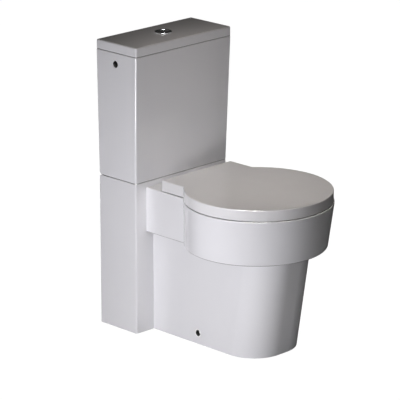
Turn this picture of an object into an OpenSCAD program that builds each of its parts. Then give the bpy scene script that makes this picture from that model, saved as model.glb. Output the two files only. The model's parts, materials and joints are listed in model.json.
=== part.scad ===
// Close coupled toilet: a back-to-wall pan, a tapered cistern with its flush and
// fill valves, and a round seat with a wrap-over cover.
// X points to the right of someone facing the pan, Y points to the wall (the wall is y = 0)
// and Z points up from the floor. All sizes are in millimetres.

/* [Rear column] */
// Width of the column that carries the cistern
column_w = 342; // [320:1:380]
// Depth of the column from the wall
column_d = 142; // [130:1:170]
// Height of the column, which is the seat of the cistern
column_h = 420; // [400:1:440]
// Wall of the fired clay
china = 12; // [9:0.5:14]
// Radius of the upright edges
edge_r = 5; // [2:0.5:8]
// Radius of the column's top edge at the wall
column_back_r = 7; // [3:0.5:12]

/* [Bowl drum] */
// Height of the rim above the floor
rim_h = 405; // [385:1:410]
// Height of the round band below the rim
band_h = 124; // [110:1:140]
// Radius of the drum at the rim
drum_r = 198; // [185:1:215]
// Radius of the drum at its lower edge
drum_base_r = 190; // [175:1:205]
// Distance from the wall to the drum's centre at the rim
drum_y = 428; // [410:1:460]
// How much further back the drum's centre is at its lower edge
drum_rake = 11; // [0:1:20]
// Width of the neck between column and drum
neck_w = 264; // [240:1:300]

/* [Bowl inside] */
// Radius of the open mouth at the rim
mouth_r = 160; // [145:1:168]
// Height of the upright wall below the rim
mouth_wall = 20; // [12:1:30]
// Radius of the bowl's curved shoulder
shoulder_r = 100; // [85:1:100]
// Radius of the funnel at its top
funnel_r = 92; // [80:1:94]
// Radius of the sump that holds the water
sump_r = 46; // [38:1:50]
// Wall of the bowl and of the trapway
bowl_wall = 10; // [8:0.5:11]
// Distance from the drum's centre back to the sump's centre
sump_back = 48; // [38:1:58]
// Height of the sump's centre, which is also that of both trap bends
trap_z = 180; // [172:1:195]
// Bend radius of the trapway's centreline
bend_r = 55; // [50:1:56]
// Inside radius of the trapway
trap_r = 28; // [25:0.5:30]

/* [Outlet and fixings] */
// Outside radius of the outlet spigot
spigot_r = 51; // [50:0.5:55]
// Wall of the outlet spigot
spigot_wall = 7; // [5:0.5:9]
// Distance from the wall to the end of the spigot
spigot_end = 20; // [5:1:40]
// Length of the spigot that is free for a pan connector
spigot_free = 70; // [50:1:80]
// Radius of the screw hole in the side fixing sleeve
fixing_r = 8; // [4:0.5:9]
// Outside radius of the side fixing sleeve
sleeve_r = 10.8; // [10:0.1:13]
// Distance from the wall to the side fixing holes
fixing_y = 312; // [290:1:340]
// Height of the side fixing holes
fixing_z = 31; // [26:1:45]

/* [Pedestal] */
// Width of the foot below the drum
pedestal_w = 215; // [208:1:230]
// How far the foot's front lies behind the drum's front at the floor
foot_back = 105; // [85:1:125]
// How far the foot's front lies behind the drum's front below the drum
shin_back = 60; // [42:1:75]
// Radius of the foot's front corners
foot_corner_r = 90; // [50:1:100]

/* [Cistern] */
// Width of the cistern at the top
cistern_w = 354; // [342:1:400]
// Depth of the cistern at the top
cistern_d = 153; // [142:1:180]
// Height of the cistern without its lid
cistern_h = 348; // [320:1:380]
// Height of the lid
lid_h = 26; // [20:1:34]
// Radius of the lid's upper edge
lid_edge_r = 4.5; // [1:0.5:8]
// Wall of the cistern
cistern_wall = 11; // [9:0.5:13]
// Clear height under the cistern floor for the back nut and the gasket
foot_recess = 20; // [18:1:26]
// Radius of the cistern's lower edge at the wall
cistern_back_r = 10; // [4:0.5:14]
// Distance from the wall to the centre line of the valves, bolts and buttons
valve_y = 73; // [68:1:80]
// Radius of the side water inlet holes
inlet_hole_r = 8.75; // [8.6:0.05:9]
// Depth of the side inlet holes below the top of the cistern
inlet_drop = 31; // [28:1:60]

/* [Seat] */
// Height of the top of the cover above the rim
cover_top = 31; // [28:0.5:36]
// Gap between the cover's skirt and the rim
cover_gap = 3; // [2:0.5:5]
// How far the cover's edge lies inside the rim's edge
cover_inset = 1.5; // [0:0.5:4]
// Wall of the cover
cover_wall = 4; // [3:0.5:6]
// Radius of the cover's upper edge
cover_edge_r = 3; // [1:0.5:5]
// Distance from the wall to the cover's back edge
cover_back = 198; // [190:1:210]
// Half width of the cover's straight tail
cover_tail = 130; // [110:1:131]
// Radius of the hole in the seat ring
seat_hole_r = 125; // [105:1:130]
// Thickness of the seat ring
seat_t = 16; // [12:0.5:17]
// Distance between the two hinges
hinge_pitch = 155; // [140:1:170]
// Height of the hinge pins above the rim
hinge_rise = 16; // [15:0.5:17]
// Distance from the cover's back edge to the hinge pins
hinge_inset = 7; // [5:0.5:8]
// Radius of the hinge pins
hinge_pin_r = 4; // [3:0.5:4.5]

/* [Push buttons] */
// Radius of the hole in the lid
button_hole_r = 20.5; // [19:0.5:24]
// Height of the bezel above the lid
bezel_h = 3; // [2:0.5:5]
// Radius of the bezel's edge
bezel_edge_r = 1.8; // [0.5:0.1:2]
// Radius of the buttons' upper edge
button_edge_r = 1; // [0.2:0.1:2]
// Travel of both buttons
button_travel = 5; // [4:0.5:6]

/* [Valves] */
// Outside radius of the flush valve's threaded tail
tail_r = 29.5; // [28:0.5:31]
// Outside radius of the overflow tube
overflow_r = 14; // [12:0.5:15]
// Height of the overflow's lip above the cistern floor
overflow_h = 242; // [220:1:250]
// Outside radius of the water inlet's threaded tail
inlet_r = 8.33; // [8:0.01:8.5]
// Length of the inlet tail outside the cistern
inlet_reach = 40; // [30:1:60]
// Distance between the bolts that hold the cistern
bolt_pitch = 150; // [140:1:170]
// Radius of the bolts that hold the cistern
bolt_r = 4; // [3:0.5:5]

/* [Clearances] */
// Radial running clearance of pins and guided rods
running = 0.06; // [0.02:0.01:0.1]
// Clearance of parts that pass each other
clear = 0.4; // [0.3:0.05:0.8]

/* [Hidden] */
$fn = 96;
cut = 1;                                   // overshoot of a cutting tool

// pan
band_z = rim_h - band_h;
drum_axis = norm([drum_rake, band_h]);
drum_lean = atan2(drum_rake, band_h);
foot_reach = drum_y + drum_r - foot_back;
shin_reach = drum_y + drum_r - shin_back;
shin_lean = atan2(shin_reach - foot_reach, band_z);
deck_z = column_h - china;
shoulder_z = rim_h - mouth_wall;
shoulder_c = mouth_r - shoulder_r;
funnel_z = shoulder_z - sqrt(pow(shoulder_r, 2) - pow(funnel_r - shoulder_c, 2));
sump_y = drum_y - sump_back;
sump_z = trap_z + 10;
bend_sides = 16;
funnel_lean = atan2(drum_y - sump_y, funnel_z - sump_z);
funnel_len = norm([drum_y - sump_y, funnel_z - sump_z]);
dip_y = sump_y - bend_r;
weir_y = dip_y - 2 * bend_r;
drop_y = weir_y - bend_r;
casting_gap = 0.3;
duct_r = tail_r + 2.5;
duct_z0 = rim_h - 53;
duct_z1 = rim_h - 21;
duct_slot = 25;                            // how far the duct is cut into the mouth's wall
bolt_hole_r = bolt_r + 2.5;
sleeve_flange_r = sleeve_r + 1;
sleeve_proud = 0.8;
sleeve_gap = 0.2;

// cistern
cistern_z0 = column_h;
cistern_z1 = cistern_z0 + cistern_h;
cistern_r = edge_r + 8;                    // upright corners of the water space
floor_z0 = cistern_z0 + foot_recess;
floor_z1 = floor_z0 + china;
lid_z1 = cistern_z1 + lid_h;
lid_plate = 10;
lid_under = lid_z1 - lid_plate;
lid_rib_w = 6;
lid_rib_drop = 9;
lid_rib_gap = 1;                           // between a rib and the cistern's inner wall
inlet_z = cistern_z1 - inlet_drop;
flare_x = (cistern_w - column_w) / 2;
wall_lean = flare_x / cistern_h;
function cistern_half(z) = column_w / 2 + wall_lean * (z - cistern_z0);
function cistern_inner(z) =
    column_w / 2 - cistern_wall + flare_x * (z - floor_z1) / (cistern_z1 - floor_z1);
inlet_out_x = cistern_half(inlet_z);

// cistern coupling
bolt_seal_t = 3;
deck_seal_t = 3;
washer_t = 1.6;
bolt_head_h = 1.4 * bolt_r;
bolt_tip = 8;                              // how far a bolt reaches below its wing nut
wing_h = 12;
wing_t = 3;
wing_r = 1.8 * bolt_r;
wing_x = 2.6 * bolt_r;
bolt_head_z = floor_z1 + bolt_seal_t;
wing_top = deck_z - deck_seal_t - washer_t;

// seat and hinges
cover_z0 = rim_h + cover_gap;
cover_z1 = rim_h + cover_top;
cover_under = cover_z1 - cover_wall;
cover_r = drum_r - cover_inset;
hinge_y = cover_back + hinge_inset;
hinge_z = rim_h + hinge_rise;
hinge_x = hinge_pitch / 2;
lug_r = 7;
post_w = 12;
lug_w = 8;
lug_gap = 2;
cover_eye = hinge_x + post_w / 2 + lug_gap;            // where the cover's eye starts, outside the post
seat_eye = hinge_x - post_w / 2 - lug_gap - lug_w;     // where the seat's eye starts, inside the post
notch_half = post_w / 2 + lug_gap + lug_w + 5;
notch_over = 2;                                        // height of the notch above the eyes
base_r = 14;
base_t = 4;
hinge_bush_r = 8;
hinge_nut_z1 = rim_h - china - 10;
hinge_nut_h = 5;
stud_z0 = rim_h - china - 22;
seat_z0 = rim_h + 6;
seat_z1 = seat_z0 + seat_t;
seat_r = cover_r - cover_wall - 4;
seat_back = hinge_y + lug_r + 10;
seat_tail = cover_tail - cover_wall - 5;
seat_crown_r = 220;
seat_tail_drop = 3;                        // the seat's tail lies this much below its crown
keyhole_front = drum_y - 20;               // where the tail of the cover and the seat ends inside the round
buffer_r = 9;
cover_buffer_ring = 152;
cover_buffer_angles = [35, 145, 215, 325];
seat_buffer_ring = 176;
seat_buffer_angles = [40, 140, 220, 320];
buffer_gap = 0.3;
stud_r = 3;
pin_head_r = hinge_pin_r + 2;
pin_head_t = 2;
pin_end = 1;                               // how far a pin stands out of the eyes
bush_flange_r = hinge_bush_r + 2;
bush_gap = 0.2;

// push buttons
tube_r = button_hole_r - clear;
tube_in = tube_r - 2.3;
bezel_r = button_hole_r + 3;
button_r = tube_in - clear;
button_top = lid_z1 + bezel_h - 1;
button_z0 = button_top - 16;
web_z = lid_z1 - 44;
web_t = 4;
split_x = 3;
full_x = -12;
half_x = 9;
half_y = valve_y + 7;
rod_r = 3;
rod_z0 = web_z - 24.4;
rod_socket = 8;                            // how deep a rod sits in its button
rod_fit = 0.02;
half_rod_gap = 2;                          // above the overflow tube when both have travelled
clamp_r = tube_r + 7;
clamp_flange_t = 3;
clamp_h = 10;
clamp_grip = [5.5, 4, 8];
spring_r = rod_r + 1.4;
spring_wire_r = 0.5;
spring_turns = 5;
coil_steps = 14;

// flush valve
lever_z = rod_z0 - 0.3 - rod_r;
press_arm = -full_x;
lift_arm = 2 * press_arm;
lift_travel = 2 * button_travel;
valve_gasket_t = 3;
flange_z = floor_z1 + valve_gasket_t;
flange_r = 42;
flange_t = 5;
tail_end = cistern_z0 - 12;
tail_wall = 3.5;
cage_r = flange_r - 4;
cage_wall = 3;
cage_top = flange_z + 66;
cage_plate = 4;
cage_window = [20, 28, 42];
cage_sill = 5;
tower_top = floor_z1 + 224;
tower_r = 24;
tower_wall = 3;
tower_plate = 5;
tower_window_w = 14;
tower_window_h = 40;
tower_windows = [cage_top + 20, cage_top + 80];
ear_y = 20;
ear_t = 4;
ear_r = 6;
overflow_z = floor_z1 + overflow_h;
seal_t = 3;
seal_z = flange_z + flange_t + 0.3;
spigot_drop = 8;                           // how far the overflow tube reaches through the seal
overflow_wall = 3.5;
overflow_foot_r = overflow_r - 2;
plate_t = 3;
hook_t = 4;
hook_w = 8;
hook_arm_h = 6;
hook_arm_z = tower_top + 10;
hook_gap = 0.3;
lever_w = 8;
lever_t = 3;
lever_boss_r = 5;
lever_pin_r = 2;
pin_grip = 0.02;                           // a pin is tight in the ears and runs free in its lever
pin_past = 0.5;                            // how far a pin stands out of the ears
lever_pin_half = ear_y + ear_t / 2 + pin_past;
gasket_t = foot_recess / 2;
nut_h = foot_recess - gasket_t;
thread_gap = 0.1;
back_nut_r = tail_r + 8;
back_nut_lugs = [8, 8, nut_h - 2];

// fill valve
seal_r = 13.5;
washer_r = 14;
seal_in_x = cistern_inner(inlet_z - seal_r) - 0.1;     // the leaning wall meets the seal at its lowest point
valve_r = 11;
valve_len = 30;
valve_flange_r = 14;
valve_flange_t = 4;
valve_flange_x = seal_in_x - seal_t;
body_x0 = valve_flange_x - valve_flange_t - valve_len;
arm_x = body_x0 - 5;
arm_z = inlet_z - 6;
arm_w = 9;
arm_t = 4;
arm_eye_r = 4;
arm_ear_t = 3;
arm_ear_y = arm_w / 2 + 0.5 + arm_ear_t / 2;
arm_pin_half = arm_ear_y + arm_ear_t / 2 + pin_past;
float_x = arm_x - 38;
float_boss_r = 7;
float_boss_h = 6;
float_r = 24;
float_wall = 2;
float_h = 52;
float_roof = 14;
float_z1 = arm_z - 18;
float_neck_r = 6;
float_neck_h = 6;
float_screw_r = 2.5;
float_screw_fit = 0.05;
float_screw_deep = 12;
float_screw_top = arm_z + 8;
float_screw_head = [4, 2];                             // radius and height
washer_x = inlet_out_x + washer_r * wall_lean + 0.26;
inlet_nut_r = 13;
inlet_nut_x = washer_x + 1.5;
inlet_nut_end = inlet_nut_x + 8;
groove_end = inlet_nut_end + 1;                        // a groove in the thread ends the nut's travel
groove_deep = 0.8;
inlet_end = inlet_out_x + inlet_reach;
water_r = 5;
water_x0 = body_x0 + 6;
socket_r = 9.5;
socket_h = 22;
socket_deep = 10;
refill_r = 7;
refill_wall = 1.5;
refill_fit = 0.05;
refill_x = body_x0 + 14;
refill_z1 = inlet_z - socket_h + socket_deep;
// lowest height at which the refill pipe still clears the cistern's leaning wall
refill_clear_x = refill_x + refill_r + 3 + cistern_wall - column_w / 2;
refill_z0 = max(floor_z1 + 20, cistern_z0 + (wall_lean > 0 ? refill_clear_x / wall_lean : 0));

// ---------------------------------------------------------------- shared shapes

// block between two corners, with Y measured outwards from the wall
module block(x0, x1, y0, y1, z0, z1) {
    translate([x0, -y1, z0]) cube([x1 - x0, y1 - y0, z1 - z0]);
}

// rectangle from the wall outwards with rounded corners
module plan(half, y0, y1, r) {
    translate([-half + r, -y1]) square([2 * (half - r), y1 - y0]);
    translate([-half, -y1 + r]) square([2 * half, y1 - y0 - 2 * r]);
    for (x = [-half + r, half - r], y = [-y1 + r, -y0 - r]) translate([x, y]) circle(r);
}

// upright rod on a centre line, between two heights
module rod(x, y, r, z0, z1) {
    translate([x, -y, z0]) cylinder(h = z1 - z0, r = r);
}

// upright ring
module ring(x, y, r, r_in, z0, z1) {
    difference() {
        rod(x, y, r, z0, z1);
        rod(x, y, r_in, z0 - cut, z1 + cut);
    }
}

// rod that runs along X
module rod_x(x0, x1, y, z, r) {
    translate([x0, -y, z]) rotate([0, 90, 0]) cylinder(h = x1 - x0, r = r);
}

// rod that runs along Y, towards the wall from y1 to y0
module rod_y(y0, y1, x, z, r) {
    translate([x, -y0, z]) rotate([90, 0, 0]) cylinder(h = y1 - y0, r = r);
}

// nut with flats, r across the corners
module hex(x, y, r, z0, z1) {
    translate([x, -y, z0]) cylinder(h = z1 - z0, r = r, $fn = 6);
}

// what a rounded edge along X leaves over, to be cut off a corner at the wall
module back_edge_waste(z, up, r, half) {
    difference() {
        block(-half, half, -cut, r, up ? z - r : z - cut, up ? z + cut : z + r);
        rod_x(-half - cut, half + cut, r, up ? z - r : z + r, r);
    }
}

// upright profile with its two upper corners rounded to r
module soft_profile(half, z0, z1, r) {
    translate([-half, z0]) square([2 * half, z1 - z0 - r]);
    translate([-half + r, z0]) square([2 * (half - r), z1 - z0]);
    for (x = [-half + r, half - r]) translate([x, z1 - r]) circle(r);
}

// block with its upper edges rounded to r and its upright corners to corner_r
module soft_block(half, y0, y1, z0, z1, r, corner_r) {
    intersection() {
        translate([0, 0, z0]) linear_extrude(z1 - z0) plan(half, y0, y1, corner_r);
        translate([0, -y0, 0]) rotate([90, 0, 0]) linear_extrude(y1 - y0) soft_profile(half, z0, z1, r);
        translate([-half, -(y0 + y1) / 2, 0]) rotate([90, 0, 90]) linear_extrude(2 * half)
            soft_profile((y1 - y0) / 2, z0, z1, r);
    }
}

// outline of a disc with its upper edge rounded to r, to be revolved
module soft_disc(disc_r, z0, z1, r) {
    polygon(concat([[0, z0], [disc_r, z0]], arc(disc_r - r, z1 - r, r, 0, 90, 6), [[0, z1]]));
}

// rounded plan that grows from one height to the next
module flared(half0, depth0, half1, depth1, z0, z1, y0, r) {
    skin = 0.01;
    hull() {
        translate([0, 0, z0]) linear_extrude(skin) plan(half0, y0, depth0, r, $fn = 32);
        translate([0, 0, z1 - skin]) linear_extrude(skin) plan(half1, y0, depth1, r, $fn = 32);
    }
}

// ---------------------------------------------------------------- pan

// leaning cone of the drum, between two heights; inset is the wall taken off
module drum(inset, z0, z1) {
    over = 30;
    slope = (drum_r - drum_base_r) / drum_axis;
    intersection() {
        translate([0, -drum_y + drum_rake, band_z]) rotate([drum_lean, 0, 0])
            translate([0, 0, -over]) cylinder(
                h = drum_axis + 2 * over,
                r1 = drum_base_r - inset - slope * over,
                r2 = drum_r - inset + slope * over);
        block(-drum_r, drum_r, drum_y - 2 * drum_r, drum_y + 2 * drum_r, z0, z1);
    }
}

// foot whose front leans back towards the floor
module shin(inset, z0, z1) {
    reach = foot_reach * cos(shin_lean) - inset;
    start = 60 * cos(shin_lean);
    half = pedestal_w / 2 - inset;
    r = foot_corner_r - inset;
    intersection() {
        rotate([shin_lean, 0, 0]) translate([0, 0, -100]) linear_extrude(600) {
            for (x = [-half + r, half - r]) translate([x, -reach + r]) circle(r);
            translate([-half + r, -reach]) square([2 * (half - r), r]);
            translate([-half, -reach + r]) square([2 * half, reach - r - start]);
        }
        block(-half - cut, half + cut, 20, shin_reach + 60, z0, z1);
    }
}

module pan_outside() {
    difference() {
        linear_extrude(column_h) plan(column_w / 2, 0, column_d, edge_r);
        back_edge_waste(column_h, true, column_back_r, column_w);
    }
    block(-neck_w / 2, neck_w / 2, column_d - china, drum_y - mouth_r, band_z, rim_h);
    drum(0, band_z, rim_h);
    shin(0, 0, band_z + china);
}

module pan_hollow() {
    top = rim_h - china;
    block(-column_w / 2 + china, column_w / 2 - china, -cut, column_d - china, -cut, deck_z);
    block(-neck_w / 2 + china, neck_w / 2 - china, column_d - china - cut,
        drum_y - mouth_r, band_z + china, top);
    drum(china, band_z + china, top);
    shin(china, -cut, band_z + china + cut);
}

// points on an arc between two angles
function arc(x, y, r, a0, a1, steps) =
    [for (i = [0:steps]) let (a = a0 + (a1 - a0) * i / steps) [x + r * cos(a), y + r * sin(a)]];

// space inside the bowl and the sump, grown outwards by wall; steps is the shoulder's number of bands
module bowl(wall, top, steps) {
    translate([0, -drum_y, 0]) rotate_extrude() polygon(concat(
        [[0, top], [mouth_r + wall, top]],
        arc(shoulder_c, shoulder_z, shoulder_r + wall, 0, -90, steps),
        [[0, shoulder_z - shoulder_r - wall]]));
    over = 18;
    under = 8;
    slope = (funnel_r - sump_r) / funnel_len;
    translate([0, -sump_y, sump_z]) {
        rotate([funnel_lean, 0, 0]) translate([0, 0, -under]) cylinder(
            h = under + funnel_len + over,
            r1 = sump_r + wall - slope * under,
            r2 = funnel_r + wall + slope * over);
        rotate([0, 0, 90]) sphere(sump_r + wall);
    }
}

// half of a bend in the upright plane through the middle of the pan
module bend(y, r, upper) {
    translate([0, -y, trap_z]) rotate([0, 90, 0]) rotate([0, 0, upper ? 90 : -90])
        rotate_extrude(angle = 180) polygon(arc(bend_r, 0, r, 0, 360 - 360 / bend_sides, bend_sides - 1));
}

module trapway(wall) {
    bend(dip_y, trap_r + wall, false);
    bend(weir_y, trap_r + wall, true);
    rod_y(spigot_end + spigot_free, drop_y + trap_r + wall + 4, 0, trap_z,
        spigot_r - spigot_wall + wall);
}

// channel from the cistern's inlet to the slot below the rim
module flush_duct(wall, z1) {
    rod(0, valve_y, duct_r + wall, duct_z0 - wall, z1);
    block(-duct_r - wall, duct_r + wall, valve_y, drum_y - mouth_r + (wall > 0 ? -wall : duct_slot),
        duct_z0 - wall, duct_z1 + wall);
}

// outer casting: column, neck, drum and foot
module pan() color("white") difference() {
    pan_outside();
    pan_hollow();
    bowl(bowl_wall + casting_gap, rim_h - china, 5);
    rod(0, drum_y, mouth_r, rim_h - china - cut, rim_h + cut);
    rod(0, valve_y, duct_r, deck_z - cut, column_h + cut);
    for (side = [-1, 1]) {
        rod(side * bolt_pitch / 2, valve_y, bolt_hole_r, deck_z - cut, column_h + cut);
        rod(side * hinge_x, hinge_y, hinge_bush_r, rim_h - china - cut, rim_h + cut);
    }
    rod_x(-pedestal_w, pedestal_w, fixing_y, fixing_z, sleeve_r + sleeve_gap);
}

// inner casting, stuck under the rim and under the deck: bowl, flush duct, trapway and spigot
module bowl_and_trap() color("white") difference() {
    union() {
        bowl(bowl_wall, rim_h - china, 5);
        trapway(bowl_wall);
        rod_y(spigot_end, spigot_end + spigot_free + 30, 0, trap_z, spigot_r);
        flush_duct(bowl_wall - 1, deck_z);
    }
    bowl(0, rim_h, 12);
    trapway(0);
    rod_y(spigot_end - cut, spigot_end + spigot_free + 30, 0, trap_z, spigot_r - spigot_wall);
    flush_duct(0, deck_z + cut);
}

// bush that lines a side fixing hole; side is -1 on the left and 1 on the right
module fixing_sleeve(side) color("whitesmoke") {
    outer = pedestal_w / 2;
    mirror([side < 0 ? 1 : 0, 0, 0]) difference() {
        union() {
            rod_x(outer - china, outer + sleeve_proud - sleeve_gap, fixing_y, fixing_z, sleeve_r);
            rod_x(outer + 0.05, outer + sleeve_proud, fixing_y, fixing_z, sleeve_flange_r);
        }
        rod_x(outer - china - cut, outer + china, fixing_y, fixing_z, fixing_r);
    }
}

// ---------------------------------------------------------------- cistern

module cistern() color("white") difference() {
    flared(column_w / 2, column_d, cistern_w / 2, cistern_d, cistern_z0, cistern_z1, 0, edge_r);
    back_edge_waste(cistern_z0, false, cistern_back_r, column_w);
    // water space above the floor
    flared(
        column_w / 2 - cistern_wall, column_d - cistern_wall,
        cistern_w / 2 - cistern_wall, cistern_d - cistern_wall,
        floor_z1, cistern_z1 + 0.02, cistern_wall, cistern_r);
    // recess below the floor
    block(-column_w / 2 + china, column_w / 2 - china, china, column_d - china,
        cistern_z0 - cut, floor_z0);
    rod(0, valve_y, tail_r + 2, floor_z0 - cut, floor_z1 + cut);
    for (side = [-1, 1])
        rod(side * bolt_pitch / 2, valve_y, bolt_hole_r, floor_z0 - cut, floor_z1 + cut);
    rod_x(-cistern_w, cistern_w, valve_y, inlet_z, inlet_hole_r);
}

module cistern_lid() color("white") {
    inner_x = cistern_w / 2 - cistern_wall;
    inner_y = cistern_d - cistern_wall;
    difference() {
        soft_block(cistern_w / 2, 0, cistern_d, cistern_z1, lid_z1, lid_edge_r, edge_r);
        block(-inner_x, inner_x, cistern_wall, inner_y, cistern_z1 - cut, lid_under);
        rod(0, valve_y, button_hole_r, lid_under - cut, lid_z1 + cut);
    }
    // ribs that drop inside the cistern and keep the lid in place
    rib_x = inner_x - lid_rib_gap - lid_rib_w / 2;
    for (side = [-1, 1]) {
        block(side * rib_x - lid_rib_w / 2, side * rib_x + lid_rib_w / 2, 40, inner_y - 30,
            cistern_z1 - lid_rib_drop, lid_under);
    }
}

// ---------------------------------------------------------------- cistern coupling

module coupling_bolts() color("silver") for (side = [-1, 1]) {
    x = side * bolt_pitch / 2;
    hex(x, valve_y, 2 * bolt_r, bolt_head_z, bolt_head_z + bolt_head_h);
    rod(x, valve_y, bolt_r, wing_top - wing_h - bolt_tip, bolt_head_z + cut);
}

module coupling_bolt_seals() color("dimgray") for (side = [-1, 1])
    ring(side * bolt_pitch / 2, valve_y, 3 * bolt_r, bolt_r + running, floor_z1, bolt_head_z);

module coupling_deck_seals() color("dimgray") for (side = [-1, 1])
    ring(side * bolt_pitch / 2, valve_y, 3 * bolt_r, bolt_r + running,
        deck_z - deck_seal_t, deck_z);

module coupling_washers() color("silver") for (side = [-1, 1])
    ring(side * bolt_pitch / 2, valve_y, 2.75 * bolt_r, bolt_r + running,
        wing_top, deck_z - deck_seal_t);

module coupling_wing_nuts() color("silver") for (side = [-1, 1]) {
    x = side * bolt_pitch / 2;
    difference() {
        union() {
            rod(x, valve_y, 2 * bolt_r, wing_top - wing_h, wing_top);
            for (wing = [-1, 1]) rod_y(valve_y - wing_t / 2, valve_y + wing_t / 2,
                x + wing * wing_x, wing_top - wing_h + bolt_r, wing_r);
        }
        rod(x, valve_y, bolt_r + running, wing_top - 2 * wing_h, wing_top + cut);
    }
}

module coupling_gasket() color("dimgray")
    ring(0, valve_y, tail_r + 16.5, tail_r + 1, cistern_z0, cistern_z0 + gasket_t);

// ---------------------------------------------------------------- seat

// outline shared by the cover and the seat: a round front and a straight tail
module keyhole(r, tail, back) {
    translate([0, -drum_y]) circle(r);
    translate([-tail, -keyhole_front]) square([2 * tail, keyhole_front - back]);
}

module hinge_eye(x0, x1) {
    rod_x(x0, x1, hinge_y, hinge_z, lug_r);
}

// hole for the pin through an eye that starts at x0
module eye_bore(x0) {
    rod_x(x0 - cut, x0 + lug_w + cut, hinge_y, hinge_z, hinge_pin_r + running);
}

// where an eye starts on the left or on the right, from where it starts on the right
function eye_start(side, x0) = side > 0 ? x0 : -x0 - lug_w;

module seat_cover() color("gainsboro") difference() {
    union() {
        difference() {
            union() {
                translate([0, -drum_y, 0]) rotate_extrude()
                    soft_disc(cover_r, cover_z0, cover_z1, cover_edge_r);
                soft_block(cover_tail, cover_back, keyhole_front, cover_z0, cover_z1,
                    cover_edge_r, cover_edge_r);
            }
            translate([0, 0, cover_z0 - cut]) linear_extrude(cover_under - cover_z0 + cut)
                keyhole(cover_r - cover_wall, cover_tail - cover_wall, cover_back + cover_wall);
            // the back wall is cut short and notched so that it swings past the hinge bases
            block(-cover_tail + cover_wall, cover_tail - cover_wall, cover_back - cut,
                cover_back + cover_wall + cut, cover_z0 - cut, hinge_z - lug_r);
            for (side = [-1, 1]) block(
                side * hinge_x - notch_half, side * hinge_x + notch_half,
                cover_back - cut, cover_back + cover_wall + cut,
                cover_z0 - cut, hinge_z + lug_r + notch_over);
        }
        for (side = [-1, 1]) {
            x0 = eye_start(side, cover_eye);
            hinge_eye(x0, x0 + lug_w);
            block(x0, x0 + lug_w, hinge_y - lug_r, hinge_y + lug_r, hinge_z, cover_under + cut / 2);
        }
    }
    for (side = [-1, 1]) eye_bore(eye_start(side, cover_eye));
}

module cover_buffers() color("silver") for (a = cover_buffer_angles)
    translate([cover_buffer_ring * cos(a), -drum_y + cover_buffer_ring * sin(a), seat_z1 + buffer_gap])
        cylinder(h = cover_under - seat_z1 - buffer_gap, r = buffer_r);

// revolved seat section: flat below, crowned above, rounded inner lip
module seat_section() {
    width = seat_r - seat_hole_r;
    mid = seat_hole_r + width / 2;
    intersection() {
        union() {
            translate([seat_hole_r + seat_t / 2, seat_z0]) square([width - seat_t / 2, seat_t]);
            translate([seat_hole_r + seat_t / 2, seat_z0 + seat_t / 2]) circle(seat_t / 2);
        }
        translate([mid, seat_z1 - seat_crown_r]) circle(seat_crown_r, $fn = 360);
    }
}

module seat_ring() color("gainsboro") difference() {
    union() {
        translate([0, -drum_y, 0]) rotate_extrude() seat_section();
        difference() {
            block(-seat_tail, seat_tail, seat_back, drum_y, seat_z0, seat_z1 - seat_tail_drop);
            rod(0, drum_y, seat_r - 20, seat_z0 - cut, seat_z1 + cut);
        }
        for (side = [-1, 1]) {
            x0 = eye_start(side, seat_eye);
            hinge_eye(x0, x0 + lug_w);
            block(x0, x0 + lug_w, hinge_y, seat_back + 10, hinge_z - lug_r, hinge_z + 2);
        }
    }
    for (side = [-1, 1]) eye_bore(eye_start(side, seat_eye));
}

module seat_buffers() color("silver") for (a = seat_buffer_angles)
    translate([seat_buffer_ring * cos(a), -drum_y + seat_buffer_ring * sin(a), rim_h + buffer_gap])
        cylinder(h = seat_z0 - rim_h - buffer_gap, r = buffer_r);

module hinge_bases() color("silver") for (side = [-1, 1]) {
    x = side * hinge_x;
    difference() {
        union() {
            rod(x, hinge_y, base_r, rim_h, rim_h + base_t);
            rod_x(x - post_w / 2, x + post_w / 2, hinge_y, hinge_z, lug_r);
            block(x - post_w / 2, x + post_w / 2, hinge_y - lug_r, hinge_y + lug_r,
                rim_h + base_t - cut / 2, hinge_z);
        }
        rod_x(x - post_w, x + post_w, hinge_y, hinge_z, hinge_pin_r + running);
    }
}

module hinge_pins() color("silver") for (side = [-1, 1]) {
    inner = seat_eye - pin_end;
    outer = cover_eye + lug_w + pin_end;
    mirror([side < 0 ? 1 : 0, 0, 0]) {
        rod_x(inner, outer, hinge_y, hinge_z, hinge_pin_r);
        rod_x(outer, outer + pin_head_t, hinge_y, hinge_z, pin_head_r);
    }
}

module hinge_studs() color("silver") for (side = [-1, 1])
    rod(side * hinge_x, hinge_y, stud_r, stud_z0, rim_h);

module hinge_bushes() color("dimgray") for (side = [-1, 1]) difference() {
    union() {
        rod(side * hinge_x, hinge_y, hinge_bush_r - bush_gap, hinge_nut_z1, rim_h);
        rod(side * hinge_x, hinge_y, bush_flange_r, hinge_nut_z1, rim_h - china - bush_gap);
    }
    rod(side * hinge_x, hinge_y, stud_r + running, rim_h - 2 * china - cut, rim_h + cut);
}

module hinge_nuts() color("silver") for (side = [-1, 1]) difference() {
    hex(side * hinge_x, hinge_y, 2 * stud_r, hinge_nut_z1 - hinge_nut_h, hinge_nut_z1);
    rod(side * hinge_x, hinge_y, stud_r + running, stud_z0 - cut, rim_h);
}

// ---------------------------------------------------------------- push buttons

module button_housing() color("lightgray") difference() {
    union() {
        rod(0, valve_y, tube_r, web_z, lid_z1 + 0.5);
        translate([0, -valve_y, 0]) rotate_extrude()
            soft_disc(bezel_r, lid_z1, lid_z1 + bezel_h, bezel_edge_r);
    }
    rod(0, valve_y, tube_in, web_z + web_t, lid_z1 + bezel_h + cut);
    rod(full_x, valve_y, rod_r + running, web_z - cut, web_z + web_t + cut);
    rod(half_x, half_y, rod_r + running, web_z - cut, web_z + web_t + cut);
}

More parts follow.
